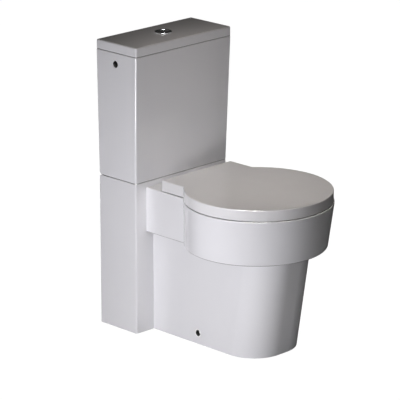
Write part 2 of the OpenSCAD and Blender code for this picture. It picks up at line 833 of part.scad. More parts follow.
module button_clamp_nut() color("whitesmoke") difference() {
    union() {
        rod(0, valve_y, clamp_r, lid_under - clamp_flange_t, lid_under);
        rod(0, valve_y, clamp_r - clamp_flange_t, lid_under - clamp_h, lid_under - clamp_flange_t + cut);
        for (a = [0:45:315]) translate([0, -valve_y, lid_under - clamp_h]) rotate([0, 0, a])
            translate([tube_r + cut, -clamp_grip[1] / 2, 0]) cube(clamp_grip);
    }
    rod(0, valve_y, tube_r + thread_gap, lid_under - 2 * clamp_h, lid_under + cut);
}

// part of the round button on one side of the split line
module button_part(x0, x1) {
    intersection() {
        translate([0, -valve_y, 0]) rotate_extrude()
            soft_disc(button_r, button_z0, button_top, button_edge_r);
        block(x0, x1, valve_y - button_r, valve_y + button_r, button_z0, button_top);
    }
}

module full_flush_button() color("silver") difference() {
    button_part(-button_r, split_x - clear);
    rod(full_x, valve_y, rod_r + rod_fit, button_z0 - cut, button_z0 + rod_socket);
}

module half_flush_button() color("silver") difference() {
    button_part(split_x + clear, button_r);
    rod(half_x, half_y, rod_r + rod_fit, button_z0 - cut, button_z0 + rod_socket);
}

module full_push_rod() color("whitesmoke")
    rod(full_x, valve_y, rod_r, rod_z0, button_z0 + rod_socket);

module half_push_rod() color("whitesmoke")
    rod(half_x, half_y, rod_r, overflow_z + lift_travel + button_travel + half_rod_gap,
        button_z0 + rod_socket);

// round wire wound into a spring between two heights
module coil(x, y, r, wire_r, z0, z1, turns) {
    steps = coil_steps * turns;
    sides = 6;
    rise = (z1 - z0 - 2 * wire_r) / steps;
    points = [for (i = [0:steps], j = [0:sides - 1])
        let (a = 360 * i / coil_steps, b = 360 * j / sides, q = r + wire_r * cos(b))
        [x + q * cos(a), -y + q * sin(a), z0 + wire_r + rise * i + wire_r * sin(b)]];
    faces = [
        [for (j = [0:sides - 1]) j],
        for (i = [0:steps - 1], j = [0:sides - 1])
            [i * sides + j, (i + 1) * sides + j, (i + 1) * sides + (j + 1) % sides,
                i * sides + (j + 1) % sides],
        [for (j = [0:sides - 1]) steps * sides + sides - 1 - j]
    ];
    polyhedron(points = points, faces = faces);
}

module full_button_spring() color("silver")
    coil(full_x, valve_y, spring_r, spring_wire_r, web_z + web_t, button_z0, spring_turns);

module half_button_spring() color("silver")
    coil(half_x, half_y, spring_r, spring_wire_r, web_z + web_t, button_z0, spring_turns);

// ---------------------------------------------------------------- flush valve

module flush_valve_body() color("lightblue") difference() {
    union() {
        rod(0, valve_y, tail_r, tail_end, flange_z + cut / 2);
        rod(0, valve_y, flange_r, flange_z, flange_z + flange_t);
        rod(0, valve_y, cage_r, flange_z, cage_top);
        rod(0, valve_y, tower_r, cage_top - cut / 2, tower_top);
        // ears that carry the lever's pin
        for (side = [-1, 1]) {
            y0 = valve_y + side * ear_y - ear_t / 2;
            block(-ear_r, ear_r, y0, y0 + ear_t, tower_top - 10, lever_z);
            rod_y(y0, y0 + ear_t, 0, lever_z, ear_r);
        }
    }
    rod(0, valve_y, tail_r - tail_wall, tail_end - cut, flange_z + flange_t + cut);
    rod(0, valve_y, cage_r - cage_wall, flange_z + flange_t, cage_top - cage_plate);
    rod(0, valve_y, tower_r - tower_wall, cage_top - cage_plate - cut, tower_top - tower_plate);
    rod(0, valve_y, overflow_r + running, tower_top - tower_plate - cut, tower_top + cut);
    // windows of the cage
    for (a = [30:60:330]) translate([0, -valve_y, flange_z + flange_t + cage_sill]) rotate([0, 0, a])
        translate([cage_r - cage_window[0] / 2, -cage_window[1] / 2, 0]) cube(cage_window);
    // windows of the tower
    for (z = tower_windows, a = [45, 135]) translate([0, -valve_y, z]) rotate([0, 0, a])
        translate([-tower_r - cut, -tower_window_w / 2, 0])
            cube([2 * (tower_r + cut), tower_window_w, tower_window_h]);
    rod_y(valve_y - 1.5 * ear_y, valve_y + 1.5 * ear_y, 0, lever_z, lever_pin_r + pin_grip);
}

module flush_valve_gasket() color("dimgray")
    ring(0, valve_y, flange_r - 1, tail_r + 0.3, floor_z1, flange_z);

module flush_valve_back_nut() color("whitesmoke") difference() {
    union() {
        rod(0, valve_y, back_nut_r, floor_z0 - nut_h, floor_z0);
        for (a = [0:60:300]) translate([0, -valve_y, floor_z0 - nut_h]) rotate([0, 0, a])
            translate([back_nut_r - back_nut_lugs[0] / 2, -back_nut_lugs[1] / 2, 0]) cube(back_nut_lugs);
    }
    rod(0, valve_y, tail_r + thread_gap, floor_z0 - nut_h - cut, floor_z0 + cut);
}

module overflow_tube() color("lightblue") {
    hook_x = lift_arm - rod_r - cut;
    post_x = lift_arm + rod_r + 2;
    hook_z = lever_z + rod_r + hook_gap;
    y0 = valve_y - hook_w / 2;
    y1 = valve_y + hook_w / 2;
    difference() {
        union() {
            rod(0, valve_y, overflow_r, seal_z + seal_t, overflow_z);
            rod(0, valve_y, cage_r - 7, seal_z + seal_t, seal_z + seal_t + plate_t);
            rod(0, valve_y, overflow_foot_r, seal_z - spigot_drop, seal_z + seal_t + cut);
            // arm and hook that the lever lifts
            block(0, post_x + hook_t, y0, y1, hook_arm_z, hook_arm_z + hook_arm_h);
            block(post_x, post_x + hook_t, y0, y1, hook_arm_z, hook_z + hook_t);
            block(hook_x, post_x + hook_t, y0, y1, hook_z, hook_z + hook_t);
        }
        rod(0, valve_y, overflow_r - overflow_wall, seal_z - spigot_drop - cut, overflow_z + cut);
    }
}

module flush_seal() color("darkred")
    ring(0, valve_y, cage_r - 6, overflow_foot_r + 0.05, seal_z, seal_z + seal_t);

module flush_lever() color("whitesmoke") {
    y0 = valve_y - lever_w / 2;
    y1 = valve_y + lever_w / 2;
    difference() {
        union() {
            rod_y(y0, y1, 0, lever_z, lever_boss_r);
            rod_y(y0, y1, -press_arm, lever_z, rod_r);
            rod_y(y0, y1, lift_arm, lever_z, rod_r);
            block(-press_arm, lift_arm, y0, y1, lever_z - lever_t / 2, lever_z + lever_t / 2);
        }
        rod_y(y0 - cut, y1 + cut, 0, lever_z, lever_pin_r + running);
    }
}

module flush_lever_pin() color("silver")
    rod_y(valve_y - lever_pin_half, valve_y + lever_pin_half, 0, lever_z, lever_pin_r);

// ---------------------------------------------------------------- fill valve

module fill_valve_body() color("lightblue") difference() {
    union() {
        rod_x(valve_flange_x - cut, inlet_nut_end, valve_y, inlet_z, inlet_r);
        rod_x(inlet_nut_end - cut, groove_end + cut, valve_y, inlet_z, inlet_r - groove_deep);
        rod_x(groove_end, inlet_end, valve_y, inlet_z, inlet_r);
        rod_x(valve_flange_x - valve_flange_t, valve_flange_x, valve_y, inlet_z, valve_flange_r);
        rod_x(body_x0, valve_flange_x - valve_flange_t, valve_y, inlet_z, valve_r);
        // socket of the refill pipe
        rod(refill_x, valve_y, socket_r, inlet_z - socket_h, inlet_z);
        // ears that carry the float arm
        for (side = [-1, 1]) {
            y0 = valve_y + side * arm_ear_y - arm_ear_t / 2;
            block(arm_x, body_x0 + cut, y0, y0 + arm_ear_t, arm_z - arm_eye_r, arm_z + 2 * arm_eye_r);
            rod_y(y0, y0 + arm_ear_t, arm_x, arm_z, arm_eye_r);
        }
    }
    rod_x(water_x0, inlet_end + cut, valve_y, inlet_z, water_r);
    rod(refill_x, valve_y, refill_r + refill_fit, inlet_z - socket_h - cut, refill_z1);
    rod(refill_x, valve_y, water_r - 1, refill_z1 - cut, inlet_z);
    rod_y(valve_y - 2 * arm_ear_y, valve_y + 2 * arm_ear_y, arm_x, arm_z, lever_pin_r + pin_grip);
}

module refill_pipe() color("whitesmoke")
    ring(refill_x, valve_y, refill_r, refill_r - refill_wall, refill_z0, refill_z1);

// ring round the water inlet's tail
module inlet_ring(x0, x1, r, gap) {
    difference() {
        rod_x(x0, x1, valve_y, inlet_z, r);
        rod_x(x0 - cut, x1 + cut, valve_y, inlet_z, inlet_r + gap);
    }
}

module fill_valve_seal() color("dimgray")
    inlet_ring(valve_flange_x, seal_in_x, seal_r, thread_gap);

module inlet_washer() color("whitesmoke")
    inlet_ring(washer_x, inlet_nut_x, washer_r, thread_gap);

module inlet_back_nut() color("whitesmoke") difference() {
    translate([inlet_nut_x, -valve_y, inlet_z]) rotate([0, 90, 0])
        cylinder(h = inlet_nut_end - inlet_nut_x, r = inlet_nut_r, $fn = 6);
    rod_x(inlet_nut_x - cut, inlet_nut_end + cut, valve_y, inlet_z, inlet_r + thread_gap / 2);
}

module float_arm() color("whitesmoke") {
    y0 = valve_y - arm_w / 2;
    y1 = valve_y + arm_w / 2;
    difference() {
        union() {
            rod_y(y0, y1, arm_x, arm_z, arm_eye_r);
            block(float_x, arm_x, y0, y1, arm_z - arm_t / 2, arm_z + arm_t / 2);
            rod(float_x, valve_y, float_boss_r, arm_z - float_boss_h / 2, arm_z + float_boss_h / 2);
        }
        rod_y(y0 - cut, y1 + cut, arm_x, arm_z, lever_pin_r + running);
        rod(float_x, valve_y, float_screw_r + float_screw_fit, arm_z - float_boss_h, arm_z + float_boss_h);
    }
}

module float_arm_pin() color("silver")
    rod_y(valve_y - arm_pin_half, valve_y + arm_pin_half, arm_x, arm_z, lever_pin_r);

module float_screw() color("silver") {
    rod(float_x, valve_y, float_screw_r, float_z1 - float_screw_deep, float_screw_top);
    rod(float_x, valve_y, float_screw_head[0], float_screw_top, float_screw_top + float_screw_head[1]);
}

module float_cup() color("lightgray") difference() {
    union() {
        rod(float_x, valve_y, float_r, float_z1 - float_h, float_z1);
        rod(float_x, valve_y, float_neck_r, float_z1 - cut, float_z1 + float_neck_h);
    }
    // open below, so that it traps air
    rod(float_x, valve_y, float_r - float_wall, float_z1 - float_h - cut, float_z1 - float_roof);
    rod(float_x, valve_y, float_screw_r + float_screw_fit, float_z1 - float_screw_deep,
        float_z1 + float_neck_h + cut);
}

pan();
bowl_and_trap();
fixing_sleeve(-1);  // fixing_sleeve_left
fixing_sleeve(1);  // fixing_sleeve_right
cistern();
cistern_lid();
coupling_bolts();
coupling_bolt_seals();
coupling_deck_seals();
coupling_washers();
coupling_wing_nuts();
coupling_gasket();
seat_ring();
seat_buffers();
seat_cover();
cover_buffers();
hinge_bases();
hinge_pins();
hinge_studs();
hinge_bushes();
hinge_nuts();
button_housing();
button_clamp_nut();
full_flush_button();
half_flush_button();
full_push_rod();
half_push_rod();
full_button_spring();
half_button_spring();
flush_valve_body();
flush_valve_gasket();
flush_valve_back_nut();
overflow_tube();
flush_seal();
flush_lever();
flush_lever_pin();
fill_valve_body();
fill_valve_seal();
inlet_washer();
inlet_back_nut();
refill_pipe();
float_arm();
float_arm_pin();
float_screw();
float_cup();
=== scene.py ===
"""Looks of a close coupled toilet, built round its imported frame.

The china is lofted and joined into one glazed casting each for the pan, the cistern and the lid. The seat
and its cover are moulded shells. The small fittings get rounded edges, threads and their own finishes.
"""
import json
import math

import bmesh
import bpy
from mathutils import Matrix, Vector
from mathutils.bvhtree import BVHTree


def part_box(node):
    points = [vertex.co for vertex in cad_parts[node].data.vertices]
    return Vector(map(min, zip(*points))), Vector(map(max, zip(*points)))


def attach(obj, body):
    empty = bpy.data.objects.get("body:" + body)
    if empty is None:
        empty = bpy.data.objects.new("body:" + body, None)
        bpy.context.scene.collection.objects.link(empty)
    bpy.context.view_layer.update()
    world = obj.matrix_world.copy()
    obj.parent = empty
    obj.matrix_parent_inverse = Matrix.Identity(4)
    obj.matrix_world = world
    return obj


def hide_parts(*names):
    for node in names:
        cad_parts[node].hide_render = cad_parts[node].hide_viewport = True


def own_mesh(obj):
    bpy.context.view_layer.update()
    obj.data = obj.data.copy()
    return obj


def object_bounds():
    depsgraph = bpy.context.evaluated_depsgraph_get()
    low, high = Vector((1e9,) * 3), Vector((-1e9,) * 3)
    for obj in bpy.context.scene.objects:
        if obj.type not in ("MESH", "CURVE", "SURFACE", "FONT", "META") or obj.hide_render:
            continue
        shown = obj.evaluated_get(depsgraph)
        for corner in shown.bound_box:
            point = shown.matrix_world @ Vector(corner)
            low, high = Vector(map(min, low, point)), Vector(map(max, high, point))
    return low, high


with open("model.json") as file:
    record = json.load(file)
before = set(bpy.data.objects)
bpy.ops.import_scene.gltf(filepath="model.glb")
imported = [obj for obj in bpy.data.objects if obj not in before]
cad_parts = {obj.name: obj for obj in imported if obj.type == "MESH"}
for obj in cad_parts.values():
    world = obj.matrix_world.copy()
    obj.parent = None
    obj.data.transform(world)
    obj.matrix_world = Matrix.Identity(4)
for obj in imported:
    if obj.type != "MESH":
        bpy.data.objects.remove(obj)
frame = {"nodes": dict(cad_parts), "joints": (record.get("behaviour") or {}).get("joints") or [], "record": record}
cad_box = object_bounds()

# ------------------------------------------------------------------ sizes, in metres

CHINA = 0.012              # wall of the outer castings
BOWL_WALL = 0.010          # wall of the bowl and of the trapway
CHINA_EDGE = 0.003         # rounding of the china's outer edges
FINE_EDGE = 0.0015         # rounding where china stands on the floor or meets china
LID_EDGE = 0.0045          # rounding of the lid's upper edge
CORNER = 0.005             # rounding of the column's and the cistern's upright corners
LEAST_CORNER = 0.0004      # what a corner keeps when its outline is drawn in
FILLET = 0.005             # where the round front runs into the straight tail
TANK_WALL = 0.011          # wall of the cistern and of its lid
COVER_WALL = 0.004
COVER_EDGE = 0.003
SEAT_EDGE = 0.005
OVER = 0.001               # how far a cutting shape stands past what it cuts
HAIR = OVER / 5            # leeway when faces and vertices are picked out by place
GAP = 0.0003               # clearance between pieces that rest on each other
SAME_PLACE = 1e-7          # vertices closer than this are one
CAST_SHADE = 32            # steepest edge that looks smooth on castings and mouldings, in degrees
FITTING_SHADE = 40         # the same on fittings

CORNER_STEPS, FILLET_STEPS, FRONT_STEPS = 5, 6, 56     # faces round a corner, a fillet and half a drum

# places along Y that tell the pan's column, neck and drum apart
COLUMN_PART, NECK_PART, DRUM_PART = -0.05, -0.2, -0.3


def reach(node, keep):
    """Lowest and highest corner of those vertices of a node that keep() takes."""
    found = [v.co for v in frame["nodes"][node].data.vertices if keep(v.co)]
    return (Vector([min(c[i] for c in found) for i in range(3)]),
            Vector([max(c[i] for c in found) for i in range(3)]))


def pan_level(z, keep):
    """Lowest and highest corner of the pan's vertices at a height, where keep() takes their place along Y."""
    return reach("pan", lambda c: abs(c.z - z) < OVER / 2 and keep(c.y))


def named(rows, name):
    return next(row for row in rows if row["name"] == name)


tank_low, tank_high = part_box("cistern")
lid_low, lid_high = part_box("cistern_lid")
cover_low, cover_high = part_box("seat_cover")
seat_low, seat_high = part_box("seat_ring")

COLUMN_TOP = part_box("pan")[1].z
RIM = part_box("hinge_bases")[0].z
COLUMN_X = pan_level(0, lambda y: y > COLUMN_PART)[1].x                 # half the column's width
COLUMN_D = -reach("cistern", lambda c: c.z < tank_low.z + OVER)[0].y    # the column's depth
foot_low, foot_high = pan_level(0, lambda y: y < NECK_PART)
rim_low, rim_high = pan_level(RIM, lambda y: y < DRUM_PART)
BAND = reach("pan", lambda c: c.x > foot_high.x + 0.03 and c.y < DRUM_PART)[0].z    # underside of the drum
band_low, band_high = pan_level(BAND, lambda y: y < DRUM_PART)

MID_Y = seat_low.y + seat_high.x          # centre of the mouth, the seat and the cover
DRUM_R = rim_high.x
DRUM_Y = rim_low.y + DRUM_R
BAND_R = band_high.x
BAND_Y = band_low.y + BAND_R
NECK = pan_level(RIM, lambda y: y > NECK_PART)[1].x                     # half the neck's width
MOUTH_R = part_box("bowl_and_trap")[1].x - BOWL_WALL
VALVE_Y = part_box("flush_valve_body")[0].y / 2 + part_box("flush_valve_body")[1].y / 2

# ------------------------------------------------------------------ outlines


def arc(x, y, r, start, end, steps):
    """Points on an arc, angles in degrees."""
    turns = [math.radians(start + (end - start) * i / steps) for i in range(steps + 1)]
    return [(x + r * math.cos(a), y + r * math.sin(a)) for a in turns]


def rounded(half, front, back, r):
    """Rectangle across the middle line, between two places along Y, with rounded corners."""
    r = max(r, LEAST_CORNER)
    right = arc(half - r, back - r, r, 90, 0, CORNER_STEPS)
    right += arc(half - r, front + r, r, 0, -90, CORNER_STEPS)
    return right + [(-x, y) for x, y in reversed(right)]


def keyhole(cy, r, half, back, corner, fillet):
    """A round front that runs through small fillets into a straight tail."""
    across = half + fillet
    rise = math.sqrt((r + fillet) ** 2 - across ** 2)
    turn = math.degrees(math.atan2(rise, across))
    corner = max(corner, LEAST_CORNER)
    right = (arc(half - corner, back - corner, corner, 90, 0, CORNER_STEPS)
             + arc(across, cy + rise, fillet, 180, 180 + turn, FILLET_STEPS)
             + arc(0, cy, r, turn, -90, FRONT_STEPS))
    return right + [(-x, y) for x, y in reversed(right[:-1])]


def ring(x, y, r, steps=96):
    return arc(x, y, r, 0, 360 - 360 / steps, steps - 1)


def half_round(r, split, right):
    """The part of a circle on one side of a straight cut at x = split."""
    side = 1 if right else -1
    open_angle = math.degrees(math.acos(side * split / r))
    return [(side * x, side * y) for x, y in arc(0, 0, r, -open_angle, open_angle, 48)]


# ------------------------------------------------------------------ meshes


def piece_of(bm, name):
    """A mesh object at the origin, with faces that point outwards."""
    bmesh.ops.remove_doubles(bm, verts=bm.verts, dist=SAME_PLACE)
    bmesh.ops.recalc_face_normals(bm, faces=bm.faces)
    mesh = bpy.data.meshes.new(name)
    bm.to_mesh(mesh)
    bm.free()
    obj = bpy.data.objects.new(name, mesh)
    bpy.context.scene.collection.objects.link(obj)
    return obj


def loft(name, rings):
    """Closed solid through rings of 3-D points, all with the same count."""
    bm = bmesh.new()
    rows = [[bm.verts.new(p) for p in r] for r in rings]
    count = len(rings[0])
    for low, high in zip(rows, rows[1:]):
        for i in range(count):
            j = (i + 1) % count
            bm.faces.new((low[i], low[j], high[j], high[i]))
    bm.faces.new(rows[0])
    bm.faces.new(rows[-1])
    return piece_of(bm, name)


def prism(name, outline, z0, z1, low=0.0, high=0.0, steps=5):
    """Upright solid with rounded lower and upper edges. outline(inset, z) gives its points; a negative
    rounding flares outwards, which is what a tool for a rounded hole does."""
    turns = [math.radians(90 * i / steps) for i in range(steps + 1)]
    levels = [(low * (1 - math.sin(a)), z0 + abs(low) * (1 - math.cos(a))) for a in turns if low] or [(0, z0)]
    levels += ([(high * (1 - math.cos(a)), z1 - abs(high) * (1 - math.sin(a))) for a in turns if high]
               or [(0, z1)])
    return loft(name, [[(x, y, z) for x, y in outline(inset, z)] for inset, z in levels])


def lathe(name, profile, place=Matrix.Identity(4), steps=96):
    """Closed solid of revolution round Z from (radius, height) points, then put in place."""
    bm = bmesh.new()
    rows = []
    for r, z in profile:
        if not r:
            rows.append([bm.verts.new((0, 0, z))])
        else:
            rows.append([bm.verts.new((x, y, z)) for x, y in ring(0, 0, r, steps)])
    loop = rows + ([rows[0]] if len(rows[0]) > 1 and len(rows[-1]) > 1 else [])
    for low, high in zip(loop, loop[1:]):
        for i in range(steps):
            j = (i + 1) % steps
            if len(low) == 1 and len(high) > 1:
                bm.faces.new((low[0], high[j], high[i]))
            elif len(high) == 1 and len(low) > 1:
                bm.faces.new((low[i], low[j], high[0]))
            elif len(low) > 1:
                bm.faces.new((low[i], low[j], high[j], high[i]))
    obj = piece_of(bm, name)
    obj.data.transform(place)
    return obj


def tube(name, path, r, sides=40):
    """Round tube through points in the upright plane x = 0."""
    rings = []
    spokes = ring(0, 0, r, sides)
    for i, p in enumerate(path):
        ahead = Vector(path[min(i + 1, len(path) - 1)]) - Vector(path[max(i - 1, 0)])
        up = Vector((0, -ahead.z, ahead.y)).normalized()
        rings.append([Vector(p) + Vector((x, 0, 0)) + up * y for x, y in spokes])
    return loft(name, rings)


ALONG_X = Matrix.Rotation(math.pi / 2, 4, "Y")


def rod(name, centre, r, length, axis="Z", steps=64):
    """Plain round rod through a centre."""
    turn = {"X": ALONG_X, "Y": Matrix.Rotation(math.pi / 2, 4, "X"), "Z": Matrix()}[axis]
    place = Matrix.Translation(centre) @ turn
    return lathe(name, [(0, -length / 2), (r, -length / 2), (r, length / 2), (0, length / 2)], place, steps)


def applied(obj):
    """Turns the modifiers of a piece into its mesh."""
    graph = bpy.context.evaluated_depsgraph_get()
    mesh = bpy.data.meshes.new_from_object(obj.evaluated_get(graph))
    obj.modifiers.clear()
    obj.data = mesh
    return obj


def combine(obj, others, operation):
    """Joins or cuts with other solids, which are used up."""
    for other in others:
        step = obj.modifiers.new("combine", "BOOLEAN")
        step.operation = operation
        step.solver = "MANIFOLD"
        step.object = other
        applied(obj)
        bpy.data.objects.remove(other)
    return obj


def join(obj, *others):
    return combine(obj, others, "UNION")


def cut(obj, *others):
    return combine(obj, others, "DIFFERENCE")


def shaded(obj, angle=FITTING_SHADE):
    """Smooth shading that keeps flats flat and leaves edges steeper than angle crisp."""
    for face in obj.data.polygons:
        face.use_smooth = True
    bm = bmesh.new()
    bm.from_mesh(obj.data)
    limit = math.radians(angle)
    for edge in bm.edges:
        edge.smooth = edge.is_manifold and edge.calc_face_angle(0) < limit
    bm.to_mesh(obj.data)
    bm.free()
    weights = obj.modifiers.new("weights", "WEIGHTED_NORMAL")
    weights.keep_sharp = True
    weights.weight = 80
    return applied(obj)


# ------------------------------------------------------------------ finishes

STREAK_SHARE = 0.4         # weight of the upright streaks beside the patches, on glaze, plastic and metal
STREAK_STRETCH = (1, 1, 0.25)
HANDLING_MEAN = 0.7        # what patches and streaks come to on average
FILM_ROUGH = 0.03          # roughness of the clear film of a coat
DEPTH_OF_GLOW = 0.004      # how far light wanders inside clear plastic
# painted shade: the thin dark line on downward faces under joints and gaps
SEAM_SHADE = (0.20, 0.195, 0.19)
# painted shade: the near-black inside of holes
HOLE_SHADE = (0.012, 0.012, 0.012)


def group(name, inputs, outputs):
    """An empty shader group with named value inputs and outputs: its tree, input node and output node."""
    tree = bpy.data.node_groups.new(name, "ShaderNodeTree")
    tree.interface.new_socket("Place", in_out="INPUT", socket_type="NodeSocketVector")
    for label, value in inputs.items():
        tree.interface.new_socket(label, in_out="INPUT", socket_type="NodeSocketFloat").default_value = value
    for label in outputs:
        tree.interface.new_socket(label, in_out="OUTPUT", socket_type="NodeSocketFloat")
    return tree, tree.nodes.new("NodeGroupInput"), tree.nodes.new("NodeGroupOutput")


def feed(tree, socket, value):
    """Gives a socket a constant or the output of another node."""
    if isinstance(value, bpy.types.NodeSocket):
        tree.links.new(value, socket)
    else:
        socket.default_value = value


def maths(tree, operation, a, b=0):
    """Output of a new Math node; a and b are numbers or sockets."""
    node = tree.nodes.new("ShaderNodeMath")
    node.operation = operation
    feed(tree, node.inputs[0], a)
    feed(tree, node.inputs[1], b)
    return node.outputs[0]


def noise(tree, place, scale, detail, rough, stretch=None):
    """Noise over the object's own coordinates; scale is in waves per metre."""
    if stretch:
        drawn = tree.nodes.new("ShaderNodeMapping")
        feed(tree, drawn.inputs["Scale"], stretch)
        feed(tree, drawn.inputs["Vector"], place)
        place = drawn.outputs[0]
    node = tree.nodes.new("ShaderNodeTexNoise")
    for label, value in {"Vector": place, "Scale": scale, "Detail": detail, "Roughness": rough}.items():
        feed(tree, node.inputs[label], value)
    return node.outputs["Fac"]


def make_skin_group():
    """Slow waves and fine orange peel of a skin that set from liquid: glaze, moulded plastic, plating."""
    tree, given, out = group("set_skin", {"Waves": 9, "Peel": 220, "Peel share": 0.2}, ["Height"])
    waves = noise(tree, given.outputs["Place"], given.outputs["Waves"], 1.5, 0.45)
    peel = noise(tree, given.outputs["Place"], given.outputs["Peel"], 2, 0.5)
    fine = maths(tree, "MULTIPLY", peel, given.outputs["Peel share"])
    tree.links.new(maths(tree, "ADD", waves, fine), out.inputs["Height"])
    return tree


def make_handling_group():
    """Soft patches where a surface has been wiped and touched, as a mask from 0 to 1."""
    tree, given, out = group("handling", {"Patches": 14, "Streaks": 60, "Contrast": 1.6}, ["Mask"])
    patches = noise(tree, given.outputs["Place"], given.outputs["Patches"], 3, 0.55)
    streaks = noise(tree, given.outputs["Place"], given.outputs["Streaks"], 2, 0.6, STREAK_STRETCH)
    both = maths(tree, "ADD", patches, maths(tree, "MULTIPLY", streaks, STREAK_SHARE))
    lifted = maths(tree, "MULTIPLY", maths(tree, "SUBTRACT", both, HANDLING_MEAN), given.outputs["Contrast"])
    mask = maths(tree, "ADD", lifted, 0.5)
    mask.node.use_clamp = True
    tree.links.new(mask, out.inputs["Mask"])
    return tree


def make_grain_group():
    """Fine grain: the bloom of rubber, the tool marks of turned metal, the mould's grain on plastic."""
    tree, given, out = group("fine_grain", {"Grain": 900}, ["Height"])
    height = noise(tree, given.outputs["Place"], given.outputs["Grain"], 3, 0.65)
    tree.links.new(height, out.inputs["Height"])
    return tree


GROUPS = {"skin": make_skin_group(), "handling": make_handling_group(), "grain": make_grain_group()}
FINISHES = {}
# the frame's plain materials leave their names to the finishes
for plain in list(bpy.data.materials):
    plain.name = "plain_" + plain.name


def finish(name, light, dark, rough, spread, handling, metal=0.0, coat=0.0, subsurface=0.0, skin=None,
           grain=None, stretch=(1, 1, 1), bare_and_shade=()):
    """A Principled material. Its colour runs from light to dark and its roughness by spread over the
    handling mask; skin and grain are (inputs, depth in metres) for the two kinds of relief. The last argument
    lists (mask of the piece, colour, roughness) for places that lack the finish and for painted shade."""
    mat = bpy.data.materials.new(name)
    mat.use_nodes = True
    tree = mat.node_tree
    shader = tree.nodes["Principled BSDF"]
    for label, value in {"Metallic": metal, "IOR": 1.5, "Coat Weight": coat, "Coat Roughness": FILM_ROUGH,
                         "Subsurface Weight": subsurface, "Subsurface Scale": DEPTH_OF_GLOW}.items():
        shader.inputs[label].default_value = value
    coords = tree.nodes.new("ShaderNodeTexCoord")
    place = tree.nodes.new("ShaderNodeMapping")
    place.inputs["Scale"].default_value = stretch
    tree.links.new(coords.outputs["Object"], place.inputs["Vector"])

    def effect(kind, values):
        node = tree.nodes.new("ShaderNodeGroup")
        node.node_tree = GROUPS[kind]
        tree.links.new(place.outputs[0], node.inputs["Place"])
        for label, value in values.items():
            node.inputs[label].default_value = value
        return node

    def blend(factor, a, b):
        node = tree.nodes.new("ShaderNodeMix")
        node.data_type = "RGBA"
        tree.links.new(factor, node.inputs["Factor"])
        for label, value in (("A", a), ("B", b)):
            feed(tree, node.inputs[label], (*value, 1) if isinstance(value, tuple) else value)
        return node.outputs["Result"]

    mask = effect("handling", handling).outputs["Mask"]
    colour = blend(mask, light, dark)
    gloss = tree.nodes.new("ShaderNodeMapRange")
    gloss.inputs["To Min"].default_value = rough
    gloss.inputs["To Max"].default_value = rough + spread
    tree.links.new(mask, gloss.inputs["Value"])
    roughness = gloss.outputs[0]
    # masks that swap in the colour of bare, unglazed china or of painted shade
    for label, tint, matt in bare_and_shade:
        marked = tree.nodes.new("ShaderNodeAttribute")
        marked.attribute_name = label
        colour = blend(marked.outputs["Fac"], colour, tint)
        roughness = maths(tree, "MAXIMUM", roughness, maths(tree, "MULTIPLY", marked.outputs["Fac"], matt))
    tree.links.new(colour, shader.inputs["Base Color"])
    tree.links.new(roughness, shader.inputs["Roughness"])
    normal = None
    for kind, wanted in (("skin", skin), ("grain", grain)):
        if wanted:
            values, depth = wanted
            bump = tree.nodes.new("ShaderNodeBump")
            bump.inputs["Strength"].default_value = 1
            bump.inputs["Distance"].default_value = depth
            tree.links.new(effect(kind, values).outputs["Height"], bump.inputs["Height"])
            if normal:
                tree.links.new(normal, bump.inputs["Normal"])
            normal = bump.outputs[0]
    if normal:
        tree.links.new(normal, shader.inputs["Normal"])
    FINISHES[name] = mat


finish(
    "glazed_china", (0.79, 0.79, 0.805), (0.765, 0.765, 0.785), 0.07, 0.05, coat=0.35,
    skin=({"Waves": 7, "Peel": 180, "Peel share": 0.012}, 0.0006),
    handling={"Patches": 6, "Streaks": 22},
    # unglazed is the real bisque; the lines under joints and the holes get painted shade
    bare_and_shade=(("unglazed", (0.66, 0.62, 0.55), 0.8), ("seam_shade", SEAM_SHADE, 0.4), ("bore", HOLE_SHADE, 0.9)))
finish(
    "seat_plastic", (0.765, 0.762, 0.768), (0.735, 0.732, 0.74), 0.07, 0.05,
    skin=({"Waves": 6, "Peel": 260, "Peel share": 0.012}, 0.0005),
    handling={"Patches": 9, "Streaks": 30},
    # painted shade along the skirt's lower edge
    bare_and_shade=(("seam_shade", SEAM_SHADE, 0.5),))
finish(
    "white_plastic", (0.86, 0.86, 0.855), (0.80, 0.80, 0.79), 0.32, 0.12,
    grain=({"Grain": 1400}, 0.00004), handling={"Patches": 60, "Streaks": 200},
    # painted shade inside the sleeves' holes
    bare_and_shade=(("bore", HOLE_SHADE, 0.9),))
finish(
    "valve_plastic", (0.62, 0.74, 0.82), (0.52, 0.66, 0.76), 0.3, 0.15, subsurface=0.15,
    grain=({"Grain": 1100}, 0.00005), handling={"Patches": 40, "Streaks": 160})
finish(
    "clear_buffer", (0.72, 0.72, 0.69), (0.62, 0.62, 0.58), 0.42, 0.15, subsurface=0.2,
    grain=({"Grain": 1600}, 0.00004), handling={"Patches": 90, "Streaks": 300})
finish(
    "black_rubber", (0.030, 0.030, 0.031), (0.075, 0.073, 0.07), 0.62, 0.2,
    grain=({"Grain": 2200}, 0.00007), handling={"Patches": 70, "Streaks": 260})
finish(
    "red_rubber", (0.42, 0.05, 0.04), (0.28, 0.035, 0.03), 0.55, 0.2,
    grain=({"Grain": 2000}, 0.00006), handling={"Patches": 70, "Streaks": 260})
finish(
    "chrome", (0.80, 0.81, 0.82), (0.70, 0.71, 0.73), 0.045, 0.07, metal=1,
    skin=({"Waves": 60, "Peel": 900, "Peel share": 0.03}, 0.00005),
    handling={"Patches": 55, "Streaks": 240})
finish(
    "stainless", (0.60, 0.59, 0.57), (0.48, 0.47, 0.46), 0.26, 0.14, metal=1,
    grain=({"Grain": 700}, 0.00003), stretch=(1, 1, 6), handling={"Patches": 80, "Streaks": 400})
finish(
    "brass_bolt", (0.66, 0.50, 0.24), (0.47, 0.34, 0.16), 0.28, 0.2, metal=1,
    grain=({"Grain": 900}, 0.00004), stretch=(1, 1, 5), handling={"Patches": 90, "Streaks": 300})


SLOT = {part["node"]: part["material_slot"] for part in frame["record"]["subparts"]}
BODY = {node: body for body, nodes in frame["record"]["behaviour"]["bodies"].items() for node in nodes}


